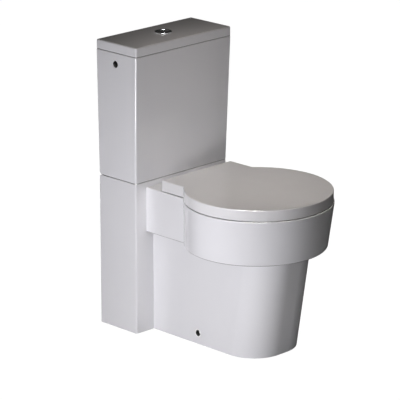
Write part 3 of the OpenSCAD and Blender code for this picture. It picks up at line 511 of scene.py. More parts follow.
def masked(obj, label, inside):
    """Marks faces for a finish: inside() gets the middle of a face's widest triangle and its normal."""
    mesh = obj.data
    mesh.calc_loop_triangles()
    widest = {}
    for part in mesh.loop_triangles:
        if part.area >= widest.get(part.polygon_index, (0,))[0]:
            middle = sum((mesh.vertices[i].co for i in part.vertices), Vector()) / 3
            widest[part.polygon_index] = (part.area, middle)
    mask = mesh.attributes.new(label, "FLOAT", "FACE")
    mask.data.foreach_set("value", [float(inside(widest[f.index][1], f.normal)) for f in mesh.polygons])
    return obj


def paint_seam_shade(obj, low, high, steep=0.35):
    """Paints shade as a thin dark line between two heights, on faces that turn downwards by more than steep."""
    return masked(obj, "seam_shade", lambda c, n: n.z < -steep and low < c.z < high)


def dress(obj, *nodes):
    """Gives a piece the finish and the body of the nodes of the frame that it stands for."""
    slot = SLOT[nodes[0]]
    obj.data.materials.clear()
    obj.data.materials.append(FINISHES[slot])
    for face in obj.data.polygons:
        face.material_index = 0
    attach(obj, BODY[nodes[0]])
    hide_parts(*nodes)
    return obj


# ------------------------------------------------------------------ china: pan


def drum_at(z):
    """The leaning drum's centre and radius at a height."""
    up = (z - BAND) / (RIM - BAND)
    return BAND_Y + (DRUM_Y - BAND_Y) * up, BAND_R + (DRUM_R - BAND_R) * up


def band_outline(inset, z):
    cy, r = drum_at(z)
    return keyhole(cy, r - inset, NECK - inset, -COLUMN_D + CHINA / 2, CORNER, FILLET + inset)


def column_outline(inset, z):
    return rounded(COLUMN_X - inset, -COLUMN_D + inset, -inset, CORNER - inset)


# the foot's front where it meets the drum, whose own front stands out past it
SHIN_TOP = reach("pan", lambda c: abs(c.z - BAND) < OVER / 2 and abs(c.x) < 0.05
                 and c.y > band_low.y + CHINA)[0].y
FOOT_CORNER = 0.09         # radius of the foot's front corners
FOOT_BACK = -0.06          # the foot ends inside the column


def foot_outline(inset, z):
    """Straight sides, and a front that leans forward towards the drum."""
    front = foot_low.y + (SHIN_TOP - foot_low.y) * z / BAND + inset
    half = foot_high.x - inset
    r = FOOT_CORNER - inset
    right = [(half, FOOT_BACK)] + arc(half - r, front + r, r, 0, -90, 24)
    return right + [(-x, y) for x, y in reversed(right)]


# the bowl's inside from its mouth to the sump: height and place along Y of the centre, and radius
BOWL = [(RIM - down, MID_Y + back, r) for down, back, r in (
    (0.020, 0, MOUTH_R), (0.040, 0, 0.158), (0.062, 0.001, 0.1505), (0.086, 0.004, 0.134),
    (0.108, 0.010, 0.109), (0.132, 0.020, 0.084), (0.160, 0.032, 0.066), (0.190, 0.042, 0.054),
    (0.216, 0.048, 0.045), (0.240, 0.052, 0.034), (0.254, 0.053, 0.020), (0.259, 0.053, 0.008))]
BOWL_DROP = 0.7            # share of its wall by which the bowl's outside hangs lower


def spline(points, steps):
    """Catmull-Rom curve through points of any size."""
    out = []
    for i in range(len(points) - 1):
        a, b, c, d = (points[max(0, min(len(points) - 1, i + k))] for k in (-1, 0, 1, 2))
        for s in range(steps):
            t = s / steps
            out.append(tuple(0.5 * (2 * q + (r - p) * t + (2 * p - 5 * q + 4 * r - u) * t * t
                                    + (3 * q - p - 3 * r + u) * t ** 3) for p, q, r, u in zip(a, b, c, d)))
    return out + [tuple(points[-1])]


def bowl_solid(name, wall, top):
    """The bowl's inside, or its outside when a wall is given. top lists (height, radius) above the mouth."""
    levels = [(z, MID_Y, r + wall) for z, r in top]
    levels += [(z - wall * BOWL_DROP, y, r + wall) for z, y, r in spline(BOWL, 5)]
    return loft(name, [[(x, y, z) for x, y in ring(0, cy, r, 128)] for z, cy, r in levels])


# outlet, trapway, flush duct and holes
MOUNTS = frame["record"]["mounts"]
SPIGOT = Vector(named(MOUNTS, "waste_spigot")["pos_m"])
SPIGOT_R = named(MOUNTS, "waste_spigot")["dims"]["r_mm"] / 1000
SPIGOT_END = SPIGOT.y + named(MOUNTS, "waste_spigot")["dims"]["length_mm"] / 2000
SPIGOT_ROOT = -0.12        # the spigot grows out of the chamber from here
SPIGOT_BORE = SPIGOT_R - 0.007
TRAP_R = 0.028             # inside of the trapway
BEND_R = 0.055             # middle line of its bends
TRAP_Y = MID_Y + 0.048     # where it leaves the sump
DROP_Y = TRAP_Y + 4 * BEND_R
CHAMBER_FRONT = DROP_Y - TRAP_R - BOWL_WALL - 0.004    # the chamber that the trapway falls into
CHAMBER_BACK = -0.09
DUCT_R = 0.032             # flush duct: flat under the neck's deck, round under the flush valve
DUCT_LOW, DUCT_HIGH = RIM - 0.053, RIM - 0.021
DUCT_EDGE = 0.004          # rounding along the flat part
DUCT_CORNER, DUCT_SPACE_CORNER = 0.02, 0.012           # its upright corners, outside and inside
DUCT_MOUTH = MID_Y + MOUTH_R - 0.025                   # it opens through the bowl's wall
DUCT_BACK = VALVE_Y + 0.02
LIP = 0.005                # rounding of the bowl's mouth
COLUMN_EDGE = 0.0012       # rounding of the column's top edge
FIXING = Vector(named(MOUNTS, "side_fixing_left")["pos_m"])
FIXING_R = 0.011
BOLT_HOLE_R = 0.0065
STUD_HOLE_R = 0.008
PAN_DRILL = 0.04           # length of the drills that are used on the pan and on the cistern
TANK_DRILL = 0.05
UPPER_NOTCH, LOWER_NOTCH = 0.016, 0.010                # rounding at the wall, above and below the joint
NOTCH_SPAN = 0.25          # half the length of its tool, more than half the cistern's width
UNDERSIDE = -0.9           # a face whose normal's height is below this looks straight down
SEAL_LOW, SEAL_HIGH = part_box("coupling_bolt_seals")
BOLT_X = SEAL_HIGH.x - (SEAL_HIGH.y - SEAL_LOW.y) / 2
STUD_LOW, STUD_HIGH = reach("hinge_studs", lambda c: c.x > 0)
HINGE = Vector(named(frame["joints"], "cover_lift")["pos_m"])
HINGE_X = (STUD_LOW.x + STUD_HIGH.x) / 2


def trap_path():
    """Down out of the sump, over the weir and down into the outlet: two half bends."""
    dip = [(0, TRAP_Y + BEND_R - y, SPIGOT.z + z) for y, z in arc(0, 0, BEND_R, 0, -180, 28)]
    weir = [(0, TRAP_Y + 3 * BEND_R - y, SPIGOT.z + z) for y, z in arc(0, 0, BEND_R, 0, 180, 28)]
    return dip + weir[1:]


def wall_edge(z, r, up):
    """What a rounded edge at the wall leaves over; it runs along X at a height, past both sides."""
    turn = arc(-r, -r, r, 0, 90, 8)
    corner = [(y, z + (h if up else -h)) for y, h in [(OVER, -r), (OVER, OVER), (-r, OVER)] + turn[::-1]]
    return loft("wall_edge", [[(x, *p) for p in corner] for x in (-NOTCH_SPAN, NOTCH_SPAN)])


def pan_holes():
    """Drills for the side screws, the coupling bolts and the hinge's studs."""
    holes = [rod("fixing_hole", (0, FIXING.y, FIXING.z), FIXING_R, 3 * foot_high.x, "X")]
    for side in (-1, 1):
        holes.append(rod("bolt_hole", (side * BOLT_X, VALVE_Y, COLUMN_TOP), BOLT_HOLE_R, PAN_DRILL))
        holes.append(rod("stud_hole", (side * HINGE_X, HINGE.y, RIM), STUD_HOLE_R, PAN_DRILL))
    return holes


def bowl_at(z):
    """Centre and radius of the bowl's inside at a height."""
    for (z1, y1, r1), (z0, y0, r0) in zip(BOWL, BOWL[1:]):
        if z > z0:
            part = min(1, (z - z0) / (z1 - z0))
            return y0 + (y1 - y0) * part, r0 + (r1 - r0) * part
    return BOWL[-1][1], 0


def unglazed_places(pan):
    """Test for faces without glaze: the floor edge, and the hollow behind the casting's skin, where a normal
    runs into the casting again. The bowl and the flush duct, where it does so too, are glazed."""
    tree = BVHTree.FromPolygons([v.co for v in pan.data.vertices], [f.vertices[:] for f in pan.data.polygons])

    def inside(c, n):
        if n.z < UNDERSIDE and c.z < OVER:
            return True
        cy, r = bowl_at(c.z)
        in_bowl = math.hypot(c.x, c.y - cy) < r + BOWL_WALL / 2
        in_duct = (DUCT_LOW - OVER < c.z and abs(c.x) < DUCT_R + OVER
                   and (c.z < DUCT_HIGH + OVER or math.hypot(c.x, c.y - VALVE_Y) < DUCT_R + OVER))
        return not in_bowl and not in_duct and tree.ray_cast(c + n * HAIR, n)[0] is not None
    return inside


def pan_skin():
    """Column, drum with its neck, and foot as one hollow casting, open underneath."""
    pan = prism("pan_casting", column_outline, 0, COLUMN_TOP, FINE_EDGE, COLUMN_EDGE)
    join(pan,
         prism("band", band_outline, BAND, RIM, CHINA_EDGE, CHINA_EDGE),
         prism("foot", foot_outline, 0, BAND + CHINA / 2, FINE_EDGE))
    return cut(
        pan,
        prism("column_space", lambda i, z: rounded(COLUMN_X - CHINA, -COLUMN_D + CHINA, OVER, CORNER),
              -OVER, COLUMN_TOP - CHINA),
        prism("band_space", lambda i, z: keyhole(drum_at(z)[0], drum_at(z)[1] - CHINA, NECK - CHINA,
                                                 -COLUMN_D + CHINA + OVER, CORNER, FILLET + CHINA),
              BAND + CHINA, RIM - CHINA),
        prism("foot_space", lambda i, z: foot_outline(CHINA, z), -OVER, BAND + CHINA + OVER),
        wall_edge(COLUMN_TOP, LOWER_NOTCH, True))


def pan_core():
    """The inner casting, still solid: bowl, trapway, outlet and flush duct."""
    top = RIM - CHINA
    wall = BOWL_WALL - OVER
    duct_top = COLUMN_TOP - CHINA + OVER
    return join(
        bowl_solid("bowl", BOWL_WALL, [(top + OVER, MOUTH_R), (top - OVER, MOUTH_R)]),
        tube("trap", trap_path(), TRAP_R + BOWL_WALL),
        rod("chamber", (0, (CHAMBER_FRONT + CHAMBER_BACK) / 2, SPIGOT.z), SPIGOT_BORE + BOWL_WALL,
            CHAMBER_BACK - CHAMBER_FRONT, "Y"),
        rod("spigot", (0, (SPIGOT_END + SPIGOT_ROOT) / 2, SPIGOT.z), SPIGOT_R, SPIGOT_END - SPIGOT_ROOT, "Y"),
        prism("duct", lambda i, z: rounded(DUCT_R + wall - i, MID_Y + MOUTH_R + BOWL_WALL, VALVE_Y + DUCT_R,
                                           DUCT_CORNER),
              DUCT_LOW - wall, DUCT_HIGH + wall, DUCT_EDGE, DUCT_EDGE),
        rod("duct_top", (0, VALVE_Y, (duct_top + DUCT_LOW) / 2), DUCT_R + wall, duct_top - DUCT_LOW))


def make_pan():
    pan = join(pan_skin(), pan_core())
    mouth = [(RIM + OVER, MOUTH_R + LIP)]
    mouth += [(RIM - LIP + y, MOUTH_R + LIP - x) for x, y in arc(0, 0, LIP, 90, 0, 6)]
    cut(pan,
        bowl_solid("bowl_space", 0, mouth),
        tube("trap_space", trap_path(), TRAP_R),
        rod("outlet", (0, (CHAMBER_FRONT + BOWL_WALL + OVER) / 2, SPIGOT.z), SPIGOT_BORE,
            -CHAMBER_FRONT - BOWL_WALL + OVER, "Y"),
        prism("duct_space", lambda i, z: rounded(DUCT_R - i, DUCT_MOUTH, DUCT_BACK, DUCT_SPACE_CORNER),
              DUCT_LOW, DUCT_HIGH, DUCT_EDGE, DUCT_EDGE),
        rod("duct_drop", (0, VALVE_Y, (COLUMN_TOP + DUCT_LOW) / 2 + OVER), DUCT_R, COLUMN_TOP - DUCT_LOW),
        *pan_holes())
    shaded(pan, CAST_SHADE)
    masked(pan, "unglazed", unglazed_places(pan))
    # painted shade inside the fixing hole
    masked(pan, "bore", lambda c, n: abs(n.x) < 0.5
           and math.hypot(c.y - FIXING.y, c.z - FIXING.z) < FIXING_R + OVER / 2)
    # painted shade along the drum's lower edge, above the foot
    paint_seam_shade(pan, BAND - HAIR, BAND + CHINA_EDGE)
    return dress(pan, "pan", "bowl_and_trap")


# ------------------------------------------------------------------ china: cistern and lid

SPARE = Vector(named(MOUNTS, "spare_inlet_hole")["pos_m"])
SPARE_R = named(MOUNTS, "spare_inlet_hole")["dims"]["r_mm"] / 1000
SPARE_EDGE = 0.0022        # glazed rounding of the spare hole's rim
WATER_CORNER = 0.013       # roundings inside the cistern, at its upright corners and at its floor
WATER_EDGE = 0.008
NUT_CORNER = 0.004         # corners of the space for the valve's back nut, under the cistern
VALVE_SEAT = 0.0145        # how much narrower the valve's hole is than the gasket under it
LID_CORNER = 0.008         # corners inside the lid
HOLE_LAP = 0.003           # how far the bezel laps over the lid round its hole
HOLE_EDGE = 0.0012
RIB_HALF = 0.003           # half the width of the ribs inside the lid
RIB_ASIDE, RIB_FRONT = 0.004, 0.03                     # their places from the lid's side and front walls
RIB_BACK = -0.04
RIB_CORNER, RIB_EDGE = 0.002, 0.0008


def up_the_tank(z, low, high):
    """A size of the leaning cistern at a height, from its sizes at the bottom and at the top."""
    return low + (high - low) * (z - tank_low.z) / (tank_high.z - tank_low.z)


def tank_outline(inset, z, corner=CORNER):
    half, front = up_the_tank(z, COLUMN_X, tank_high.x), up_the_tank(z, -COLUMN_D, tank_low.y)
    return rounded(half - inset, front + inset, -inset, corner - inset)


def inlet_holes():
    """One tool for both side holes; the left one, which stays open, has a rounded glazed rim."""
    half = up_the_tank(SPARE.z, COLUMN_X, tank_high.x)
    rim = [(SPARE_R + SPARE_EDGE - x, -half + SPARE_EDGE - y) for x, y in arc(0, 0, SPARE_EDGE, 90, 0, 7)]
    profile = [(0, -half - OVER), (SPARE_R + SPARE_EDGE, -half - OVER)] + rim
    profile += [(SPARE_R, half + OVER), (0, half + OVER)]
    return lathe("inlet_holes", profile, Matrix.Translation((0, VALVE_Y, SPARE.z)) @ ALONG_X, 72)


def make_cistern():
    floor_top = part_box("flush_valve_gasket")[0].z
    tank = prism("cistern_casting", tank_outline, tank_low.z, tank_high.z - GAP, CHINA_EDGE, FINE_EDGE)
    cut(tank,
        prism("water_space", lambda i, z: tank_outline(TANK_WALL + i, z, WATER_CORNER + TANK_WALL + i),
              floor_top, tank_high.z + OVER, WATER_EDGE),
        prism("nut_space", lambda i, z: rounded(COLUMN_X - CHINA, -COLUMN_D + CHINA, -CHINA, NUT_CORNER),
              tank_low.z - OVER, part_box("flush_valve_back_nut")[1].z),
        rod("valve_hole", (0, VALVE_Y, floor_top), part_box("coupling_gasket")[1].x - VALVE_SEAT, TANK_DRILL),
        inlet_holes(),
        wall_edge(tank_low.z, UPPER_NOTCH, False),
        *(rod("bolt_hole", (side * BOLT_X, VALVE_Y, floor_top), BOLT_HOLE_R, TANK_DRILL) for side in (-1, 1)))
    shaded(tank, CAST_SHADE)
    # painted shade inside the spare inlet hole
    masked(tank, "bore", lambda c, n: c.x < 0 and abs(n.x) < 0.4
           and math.hypot(c.y - SPARE.y, c.z - SPARE.z) < SPARE_R + OVER / 2)
    masked(tank, "unglazed", lambda c, n: n.z < UNDERSIDE and c.z < tank_low.z + OVER)
    # painted shade along the cistern's lower edge, where it sits on the column
    paint_seam_shade(tank, tank_low.z, tank_low.z + CHINA_EDGE, steep=0.2)
    return dress(tank, "cistern")


def make_lid():
    """Lid with a round-edged hole for the button and, inside, a rib on each side that keeps it in place."""
    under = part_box("button_clamp_nut")[1].z
    hole_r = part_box("button_housing")[1].x - HOLE_LAP

    def outline(inset, z, corner=CORNER + OVER):
        return rounded(lid_high.x - inset, lid_low.y + inset, -inset, corner - inset)

    def rib_outline(inset, z):
        rib = rounded(RIB_HALF - inset, lid_low.y + TANK_WALL + RIB_FRONT, RIB_BACK, RIB_CORNER)
        return [(side * (lid_high.x - TANK_WALL - RIB_ASIDE) + x, y) for x, y in rib]

    lid = prism("cistern_lid_casting", outline, tank_high.z + GAP, lid_high.z, FINE_EDGE, LID_EDGE, 8)
    cut(lid,
        prism("lid_space", lambda i, z: outline(TANK_WALL, z, TANK_WALL + LID_CORNER),
              tank_high.z - OVER, under),
        prism("button_hole", lambda i, z: ring(0, VALVE_Y, hole_r - i),
              tank_high.z, lid_high.z + OVER / 10, high=-HOLE_EDGE))
    for side in (-1, 1):
        join(lid, prism("rib", rib_outline, lid_low.z, under + OVER, low=RIB_EDGE))
    shaded(lid, CAST_SHADE)
    # painted shade along the lid's lower edge, where it sits on the cistern
    paint_seam_shade(lid, lid_low.z - OVER, tank_high.z + CHINA_EDGE, steep=0.1)
    return dress(lid, "cistern_lid")


# ------------------------------------------------------------------ seat and cover

EYE_R = 0.007              # hinge eyes: radius and width
EYE_W = 0.008
EYE_EDGE = 0.0006
PIN_R = 0.004
PIN_FIT = 0.00006          # play of a pin or a rod in its hole
POST_HALF = 0.006          # half the width of a hinge post
EYE_GAP = 0.002            # between a post and the eyes beside it
COVER_EYE = HINGE_X + POST_HALF + EYE_GAP + EYE_W / 2
SEAT_EYE = HINGE_X - POST_HALF - EYE_GAP - EYE_W / 2
COVER_R = MID_Y - cover_low.y
COVER_TAIL = reach("seat_cover", lambda c: c.y > cover_high.y - 5 * OVER)[1].x     # half the tail's width
SEAT_R = seat_high.x
SEAT_SIDE = 0.09           # the hinge eyes lie nearer to the middle than this
SEAT_BACK = reach("seat_ring", lambda c: abs(c.x) > SEAT_SIDE)[1].y
SEAT_TAIL = reach("seat_ring", lambda c: abs(c.x) > SEAT_SIDE and c.y > SEAT_BACK - 10 * OVER)[1].x
SEAT_HOLE_R = 0.125
SKIRT_MORE = 0.0016        # how far the cover's skirt comes down over the gap
SKIRT_EDGE = 0.0008
COVER_CORNER, COVER_FILLET = 0.003, 0.010
COVER_SPACE_EDGE = 0.003
NOTCH_ASIDE, NOTCH_ABOVE = 0.005, 0.002                # room round the eyes in the cover's back
SEAT_CORNER, SEAT_FILLET = 0.006, 0.012
SEAT_LOW_EDGE = 0.0012
SEAT_HOLE_EDGE = 0.006
WEB_IN, WEB_UP = 0.01, 0.002                           # how far the seat's webs reach into it and past the pin


def eye(x):
    """Hinge eye, still solid, with its middle at x."""
    half, flat = EYE_W / 2, EYE_R - EYE_EDGE
    profile = [(0, -half), (flat, -half), (EYE_R, -half + EYE_EDGE)]
    profile += [(EYE_R, half - EYE_EDGE), (flat, half), (0, half)]
    return lathe("eye", profile, Matrix.Translation((x, HINGE.y, HINGE.z)) @ ALONG_X, 48)


def block(x0, x1, y0, y1, z0, z1):
    return prism("block", lambda i, z: [(x0, y0), (x1, y0), (x1, y1), (x0, y1)], z0, z1)


def add_eyes(obj, middle, y0, y1, z0, z1):
    """A hinge eye on each side, joined to its piece by an upright web and drilled for the pin."""
    for x in (-middle, middle):
        join(obj, eye(x), block(x - EYE_W / 2, x + EYE_W / 2, y0, y1, z0, z1))
        cut(obj, rod("pin_hole", (x, HINGE.y, HINGE.z), PIN_R + PIN_FIT, 2 * EYE_W, "X", 48))


def cover_outline(inset, z):
    return keyhole(MID_Y, COVER_R - inset, COVER_TAIL - inset, cover_high.y - inset,
                   COVER_CORNER - inset, COVER_FILLET + inset)


def make_cover():
    """Moulded shell whose back is open between its sides and has a higher opening round each hinge."""
    low, high = cover_low.z, cover_high.z
    under = high - COVER_WALL
    cover = prism("seat_cover_shell", cover_outline, low - SKIRT_MORE, high, SKIRT_EDGE, COVER_EDGE, 6)
    back = cover_high.y - COVER_WALL - OVER
    inner = COVER_TAIL - COVER_WALL
    notch = POST_HALF + EYE_GAP + EYE_W + NOTCH_ASIDE
    below = low - 3 * OVER
    cut(cover,
        prism("cover_space", lambda i, z: cover_outline(COVER_WALL + i, z), below, under,
              high=COVER_SPACE_EDGE),
        block(-inner, inner, back, cover_high.y + OVER, below, HINGE.z - EYE_R),
        *(block(side * HINGE_X - notch, side * HINGE_X + notch, back, cover_high.y + OVER, below,
                HINGE.z + EYE_R + NOTCH_ABOVE) for side in (-1, 1)))
    add_eyes(cover, COVER_EYE, HINGE.y - EYE_R, HINGE.y + EYE_R, HINGE.z, under + OVER / 2)
    shaded(cover, CAST_SHADE)
    # painted shade along the skirt's lower edge, over the gap to the rim
    paint_seam_shade(cover, below, low + OVER)
    return dress(cover, "seat_cover")


def make_seat():
    """Flat ring; the tool for its hole flares into a wide rounding at the top."""
    low, high = reach("seat_ring", lambda c: abs(c.x) > SEAT_HOLE_R + 5 * OVER)
    seat = prism("seat_ring_moulding", lambda i, z: keyhole(MID_Y, SEAT_R - i, SEAT_TAIL - i, SEAT_BACK - i,
                                                            SEAT_CORNER - i, SEAT_FILLET + i),
                 low.z, high.z, SEAT_LOW_EDGE, SEAT_EDGE, 6)
    cut(seat, prism("seat_hole", lambda i, z: ring(0, MID_Y, SEAT_HOLE_R - i, 128),
                    low.z - OVER, high.z + OVER / 20, high=-SEAT_HOLE_EDGE, steps=8))
    add_eyes(seat, SEAT_EYE, SEAT_BACK - WEB_IN, HINGE.y, HINGE.z - EYE_R, HINGE.z + WEB_UP)
    shaded(seat, CAST_SHADE)
    return dress(seat, "seat_ring")


# ------------------------------------------------------------------ push buttons

HOUSING_LOW, HOUSING_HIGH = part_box("button_housing")
FULL_LOW, FULL_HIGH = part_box("full_flush_button")
HALF_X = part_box("half_flush_button")[0].x
BEZEL_WIDE = 0.0034        # how far the bezel stands out past the tube
TUBE_WALL = 0.0023
TUBE_FLOOR = 0.004
BEZEL_EDGE = 0.0008        # roundings of the bezel, outside and inside
MOUTH_EDGE = 0.0005
FLOOR_DRILL = 0.02
BUTTON_LOW_EDGE, BUTTON_EDGE = 0.0003, 0.0006


def make_housing():
    """Tube with a floor that guides the push rods, and a polished bezel."""
    low, high = HOUSING_LOW.z, HOUSING_HIGH.z
    bezel_r = HOUSING_HIGH.x
    outer = bezel_r - BEZEL_WIDE
    inner = outer - TUBE_WALL
    profile = [(0, low), (outer, low), (outer, lid_high.z), (bezel_r - GAP, lid_high.z)]
    profile += [(bezel_r - BEZEL_EDGE + x, high - BEZEL_EDGE + z) for x, z in arc(0, 0, BEZEL_EDGE, 0, 90, 7)]
    profile += [(inner + MOUTH_EDGE - x, high - MOUTH_EDGE + z) for x, z in arc(0, 0, MOUTH_EDGE, 90, 0, 4)]
    profile += [(inner, low + TUBE_FLOOR), (0, low + TUBE_FLOOR)]
    housing = lathe("button_bezel_and_tube", profile, Matrix.Translation((0, VALVE_Y, 0)), 128)
    for node in ("full_push_rod", "half_push_rod"):
        a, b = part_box(node)
        cut(housing, rod("rod_hole", ((a.x + b.x) / 2, (a.y + b.y) / 2, low), (b.x - a.x) / 2 + PIN_FIT,
                         FLOOR_DRILL, steps=32))
    return dress(shaded(housing), "button_housing")


def make_button(name, node, split, right):
    """One part of the round button, up to the straight gap at x = split."""
    low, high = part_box(node)
    drawn_in = 1 if right else -1
    button = prism(name, lambda i, z: [(x, y + VALVE_Y) for x, y in half_round(
        -FULL_LOW.x - i, split + drawn_in * i, right)], low.z + GAP, high.z, BUTTON_LOW_EDGE, BUTTON_EDGE)
    return dress(shaded(button), node)


# ------------------------------------------------------------------ small fittings

WELD = 1e-6                # vertices closer than this are one
FLAT = math.radians(0.2)   # faces flatter than this to each other are one

# how wide the edges of each fitting are softened
SOFTENED = {
    "hinge_bases": 0.0008, "hinge_pins": 0.0004, "fixing_sleeve_left": 0.0004, "fixing_sleeve_right": 0.0004,
    "seat_buffers": 0.0009, "cover_buffers": 0.0006, "hinge_bushes": 0.0005, "hinge_nuts": 0.0004,
    "coupling_wing_nuts": 0.0006, "coupling_bolt_seals": 0.0005, "coupling_deck_seals": 0.0005,
    "coupling_washers": 0.0002, "coupling_gasket": 0.0012, "inlet_back_nut": 0.0006, "inlet_washer": 0.0003,
    "fill_valve_seal": 0.0005, "refill_pipe": 0.0003, "float_cup": 0.0006, "float_arm": 0.0004,
    "float_arm_pin": 0.0003, "overflow_tube": 0.0004, "flush_seal": 0.0005, "flush_lever": 0.0004,
    "flush_lever_pin": 0.0003, "flush_valve_gasket": 0.0005, "flush_valve_back_nut": 0.0006,
    "button_clamp_nut": 0.0005, "full_push_rod": 0.0004, "half_push_rod": 0.0004}
VALVE_EDGE = 0.0004        # the same on the fill valve and the flush valve

# pitch and depth of each thread
BOLT_THREAD = (0.00125, 0.0007)
STUD_THREAD = (0.001, 0.00055)
INLET_THREAD = (0.001337, 0.00085)
OUTLET_THREAD = (0.003, 0.0011)
RINGS_PER_TURN = 5
BOLT_THREAD_LENGTH = 0.042
HEAD_CHAMFER = 0.0011      # height of the chamfer on a bolt's head
HEAD_FLAT = 0.85           # radius of the flat inside it, as a share of the head's
SHANK_LESS = 0.0001        # how much thinner the plain shank is than the thread
TAPER_LESS = 0.0004        # the same where its taper starts
SHANK_TAPER = 0.002        # length of the taper
INLET_DRILL = 0.042        # length of the drill for the fill valve's tail
INLET_DRILL_IN = 0.02      # how far inside the tail's end the drill's middle lies
OUTLET_DRILL = 0.1

WIRE_R = 0.0005
COILS, COIL_STEPS = 7, 32
CLOSED_PITCH = 2.6 * WIRE_R


def merged(node):
    """A copy of a node of the frame as one closed mesh."""
    bm = bmesh.new()
    bm.from_mesh(frame["nodes"][node].data)
    bmesh.ops.remove_doubles(bm, verts=bm.verts, dist=WELD)
    bmesh.ops.dissolve_limit(bm, angle_limit=FLAT, verts=bm.verts, edges=bm.edges)
    return piece_of(bm, node + "_finished")


def softened(obj, width):
    """Small roundings on all edges steeper than 30 degrees."""
    bevel = obj.modifiers.new("edges", "BEVEL")
    bevel.width = width
    bevel.segments = 2
    bevel.angle_limit = math.radians(30)
    return applied(obj)


for node, width in SOFTENED.items():
    fitting = dress(shaded(softened(merged(node), width)), node)
    if "sleeve" in node:    # the faces that look at the sleeve's middle line
        # painted shade inside the sleeve's hole
        masked(fitting, "bore", lambda c, n: n.y * (c.y - FIXING.y) + n.z * (c.z - FIXING.z) < -OVER)


def make_thread_tree():
    """Screw threads side by side along X, each upright round its own axis, with tapered ends."""
    tree = bpy.data.node_groups.new("screw_threads", "GeometryNodeTree")
    sizes = {"Radius": 0.004, "Length": 0.04, "Pitch": 0.00125, "Depth": 0.0007, "Spacing": 0.15}
    for label, value in sizes.items():
        tree.interface.new_socket(label, in_out="INPUT", socket_type="NodeSocketFloat").default_value = value
    for label, value in {"Copies": 2, "Sides": 32, "Rings": 160}.items():
        tree.interface.new_socket(label, in_out="INPUT", socket_type="NodeSocketInt").default_value = value
    tree.interface.new_socket("Material", in_out="INPUT", socket_type="NodeSocketMaterial")
    tree.interface.new_socket("Geometry", in_out="OUTPUT", socket_type="NodeSocketGeometry")
    given = tree.nodes.new("NodeGroupInput").outputs
    out = tree.nodes.new("NodeGroupOutput")

    def node(kind, **links):
        made = tree.nodes.new(kind)
        for label, value in links.items():
            tree.links.new(value, made.inputs[label.replace("_", " ")])
        return made

    def reckon(operation, a, b=0):
        return maths(tree, operation, a, b)

    blank = node("GeometryNodeMeshCylinder", Vertices=given["Sides"], Side_Segments=given["Rings"],
                 Radius=given["Radius"], Depth=given["Length"])
    place = node("ShaderNodeSeparateXYZ", Vector=tree.nodes.new("GeometryNodeInputPosition").outputs[0])
    x, y, z = place.outputs
    turn = reckon("DIVIDE", reckon("ARCTAN2", y, x), 2 * math.pi)
    phase = reckon("FRACT", reckon("SUBTRACT", reckon("DIVIDE", z, given["Pitch"]), turn))
    flank = reckon("ABSOLUTE", reckon("SUBTRACT", reckon("MULTIPLY", phase, 2), 1))
    half_length = reckon("MULTIPLY", given["Length"], 0.5)
    from_end = reckon("SUBTRACT", half_length, reckon("ABSOLUTE", z))
    taper = reckon("SUBTRACT", 1, reckon("DIVIDE", from_end, given["Pitch"]))
    deep = reckon("MULTIPLY", reckon("MAXIMUM", flank, taper), given["Depth"])
    draw_in = reckon("SUBTRACT", 1, reckon("DIVIDE", deep, given["Radius"]))
    x, y = reckon("MULTIPLY", x, draw_in), reckon("MULTIPLY", y, draw_in)
    moved = node("ShaderNodeCombineXYZ", X=x, Y=y, Z=z)
    cut_blank = node("GeometryNodeSetPosition", Geometry=blank.outputs["Mesh"], Position=moved.outputs[0])
    row = tree.nodes.new("GeometryNodeMeshLine")
    row.mode = "END_POINTS"
    tree.links.new(given["Copies"], row.inputs["Count"])
    for socket, side in ((row.inputs[2], -0.5), (row.inputs[3], 0.5)):    # its start and its end
        end = node("ShaderNodeCombineXYZ", X=reckon("MULTIPLY", given["Spacing"], side))
        tree.links.new(end.outputs[0], socket)
    copies = node("GeometryNodeInstanceOnPoints", Points=row.outputs[0], Instance=cut_blank.outputs[0])
    real = node("GeometryNodeRealizeInstances", Geometry=copies.outputs[0])
    painted = node("GeometryNodeSetMaterial", Geometry=real.outputs[0], Material=given["Material"])
    tree.links.new(painted.outputs[0], out.inputs[0])
    return tree


THREADS = make_thread_tree()


def threads(name, node, r, length, thread, sides=32, spacing=0.0):
    """Threaded blanks centred on the origin, one or a pair, as a plain mesh."""
    obj = bpy.data.objects.new(name, bpy.data.meshes.new(name))
    bpy.context.scene.collection.objects.link(obj)
    made = obj.modifiers.new("threads", "NODES")
    made.node_group = THREADS
    pitch, depth = thread
    wanted = {"Radius": r, "Length": length, "Pitch": pitch, "Depth": depth, "Spacing": spacing,
              "Copies": 2 if spacing else 1, "Sides": sides, "Rings": round(RINGS_PER_TURN * length / pitch),
              "Material": FINISHES[SLOT[node]]}
    for socket in THREADS.interface.items_tree:
        if socket.in_out == "INPUT":
            made[socket.identifier] = wanted[socket.name]
    return applied(obj)


def make_bolts():
    """Coupling bolts: chamfered hexagon heads, plain shanks and threads for the wing nuts."""
    low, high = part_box("coupling_bolts")
    corner = high.x - BOLT_X
    r = corner / 2
    head_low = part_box("coupling_bolt_seals")[1].z
    thread_top = low.z + BOLT_THREAD_LENGTH
    bolts = threads("coupling_bolts_cut", "coupling_bolts", r, BOLT_THREAD_LENGTH, BOLT_THREAD,
                    spacing=2 * BOLT_X)
    bolts.data.transform(Matrix.Translation((0, VALVE_Y, low.z + BOLT_THREAD_LENGTH / 2)))
    form = [(0, head_low - OVER), (corner, head_low - OVER), (corner, high.z - HEAD_CHAMFER),
            (HEAD_FLAT * corner, high.z), (0, high.z)]
    shank = [(0, thread_top - SHANK_TAPER), (r - TAPER_LESS, thread_top - SHANK_TAPER),
             (r - SHANK_LESS, thread_top), (r - SHANK_LESS, head_low + OVER), (0, head_low + OVER)]
    for side in (-1, 1):
        x = side * BOLT_X
        place = Matrix.Translation((x, VALVE_Y, 0))
        head = prism("head", lambda i, z: [(x + px, VALVE_Y + py) for px, py in ring(0, 0, corner, 6)],
                     head_low, high.z)
        combine(head, [lathe("form", form, place)], "INTERSECT")
        join(bolts, head, lathe("shank", shank, place, 48))
    return dress(shaded(bolts), "coupling_bolts")


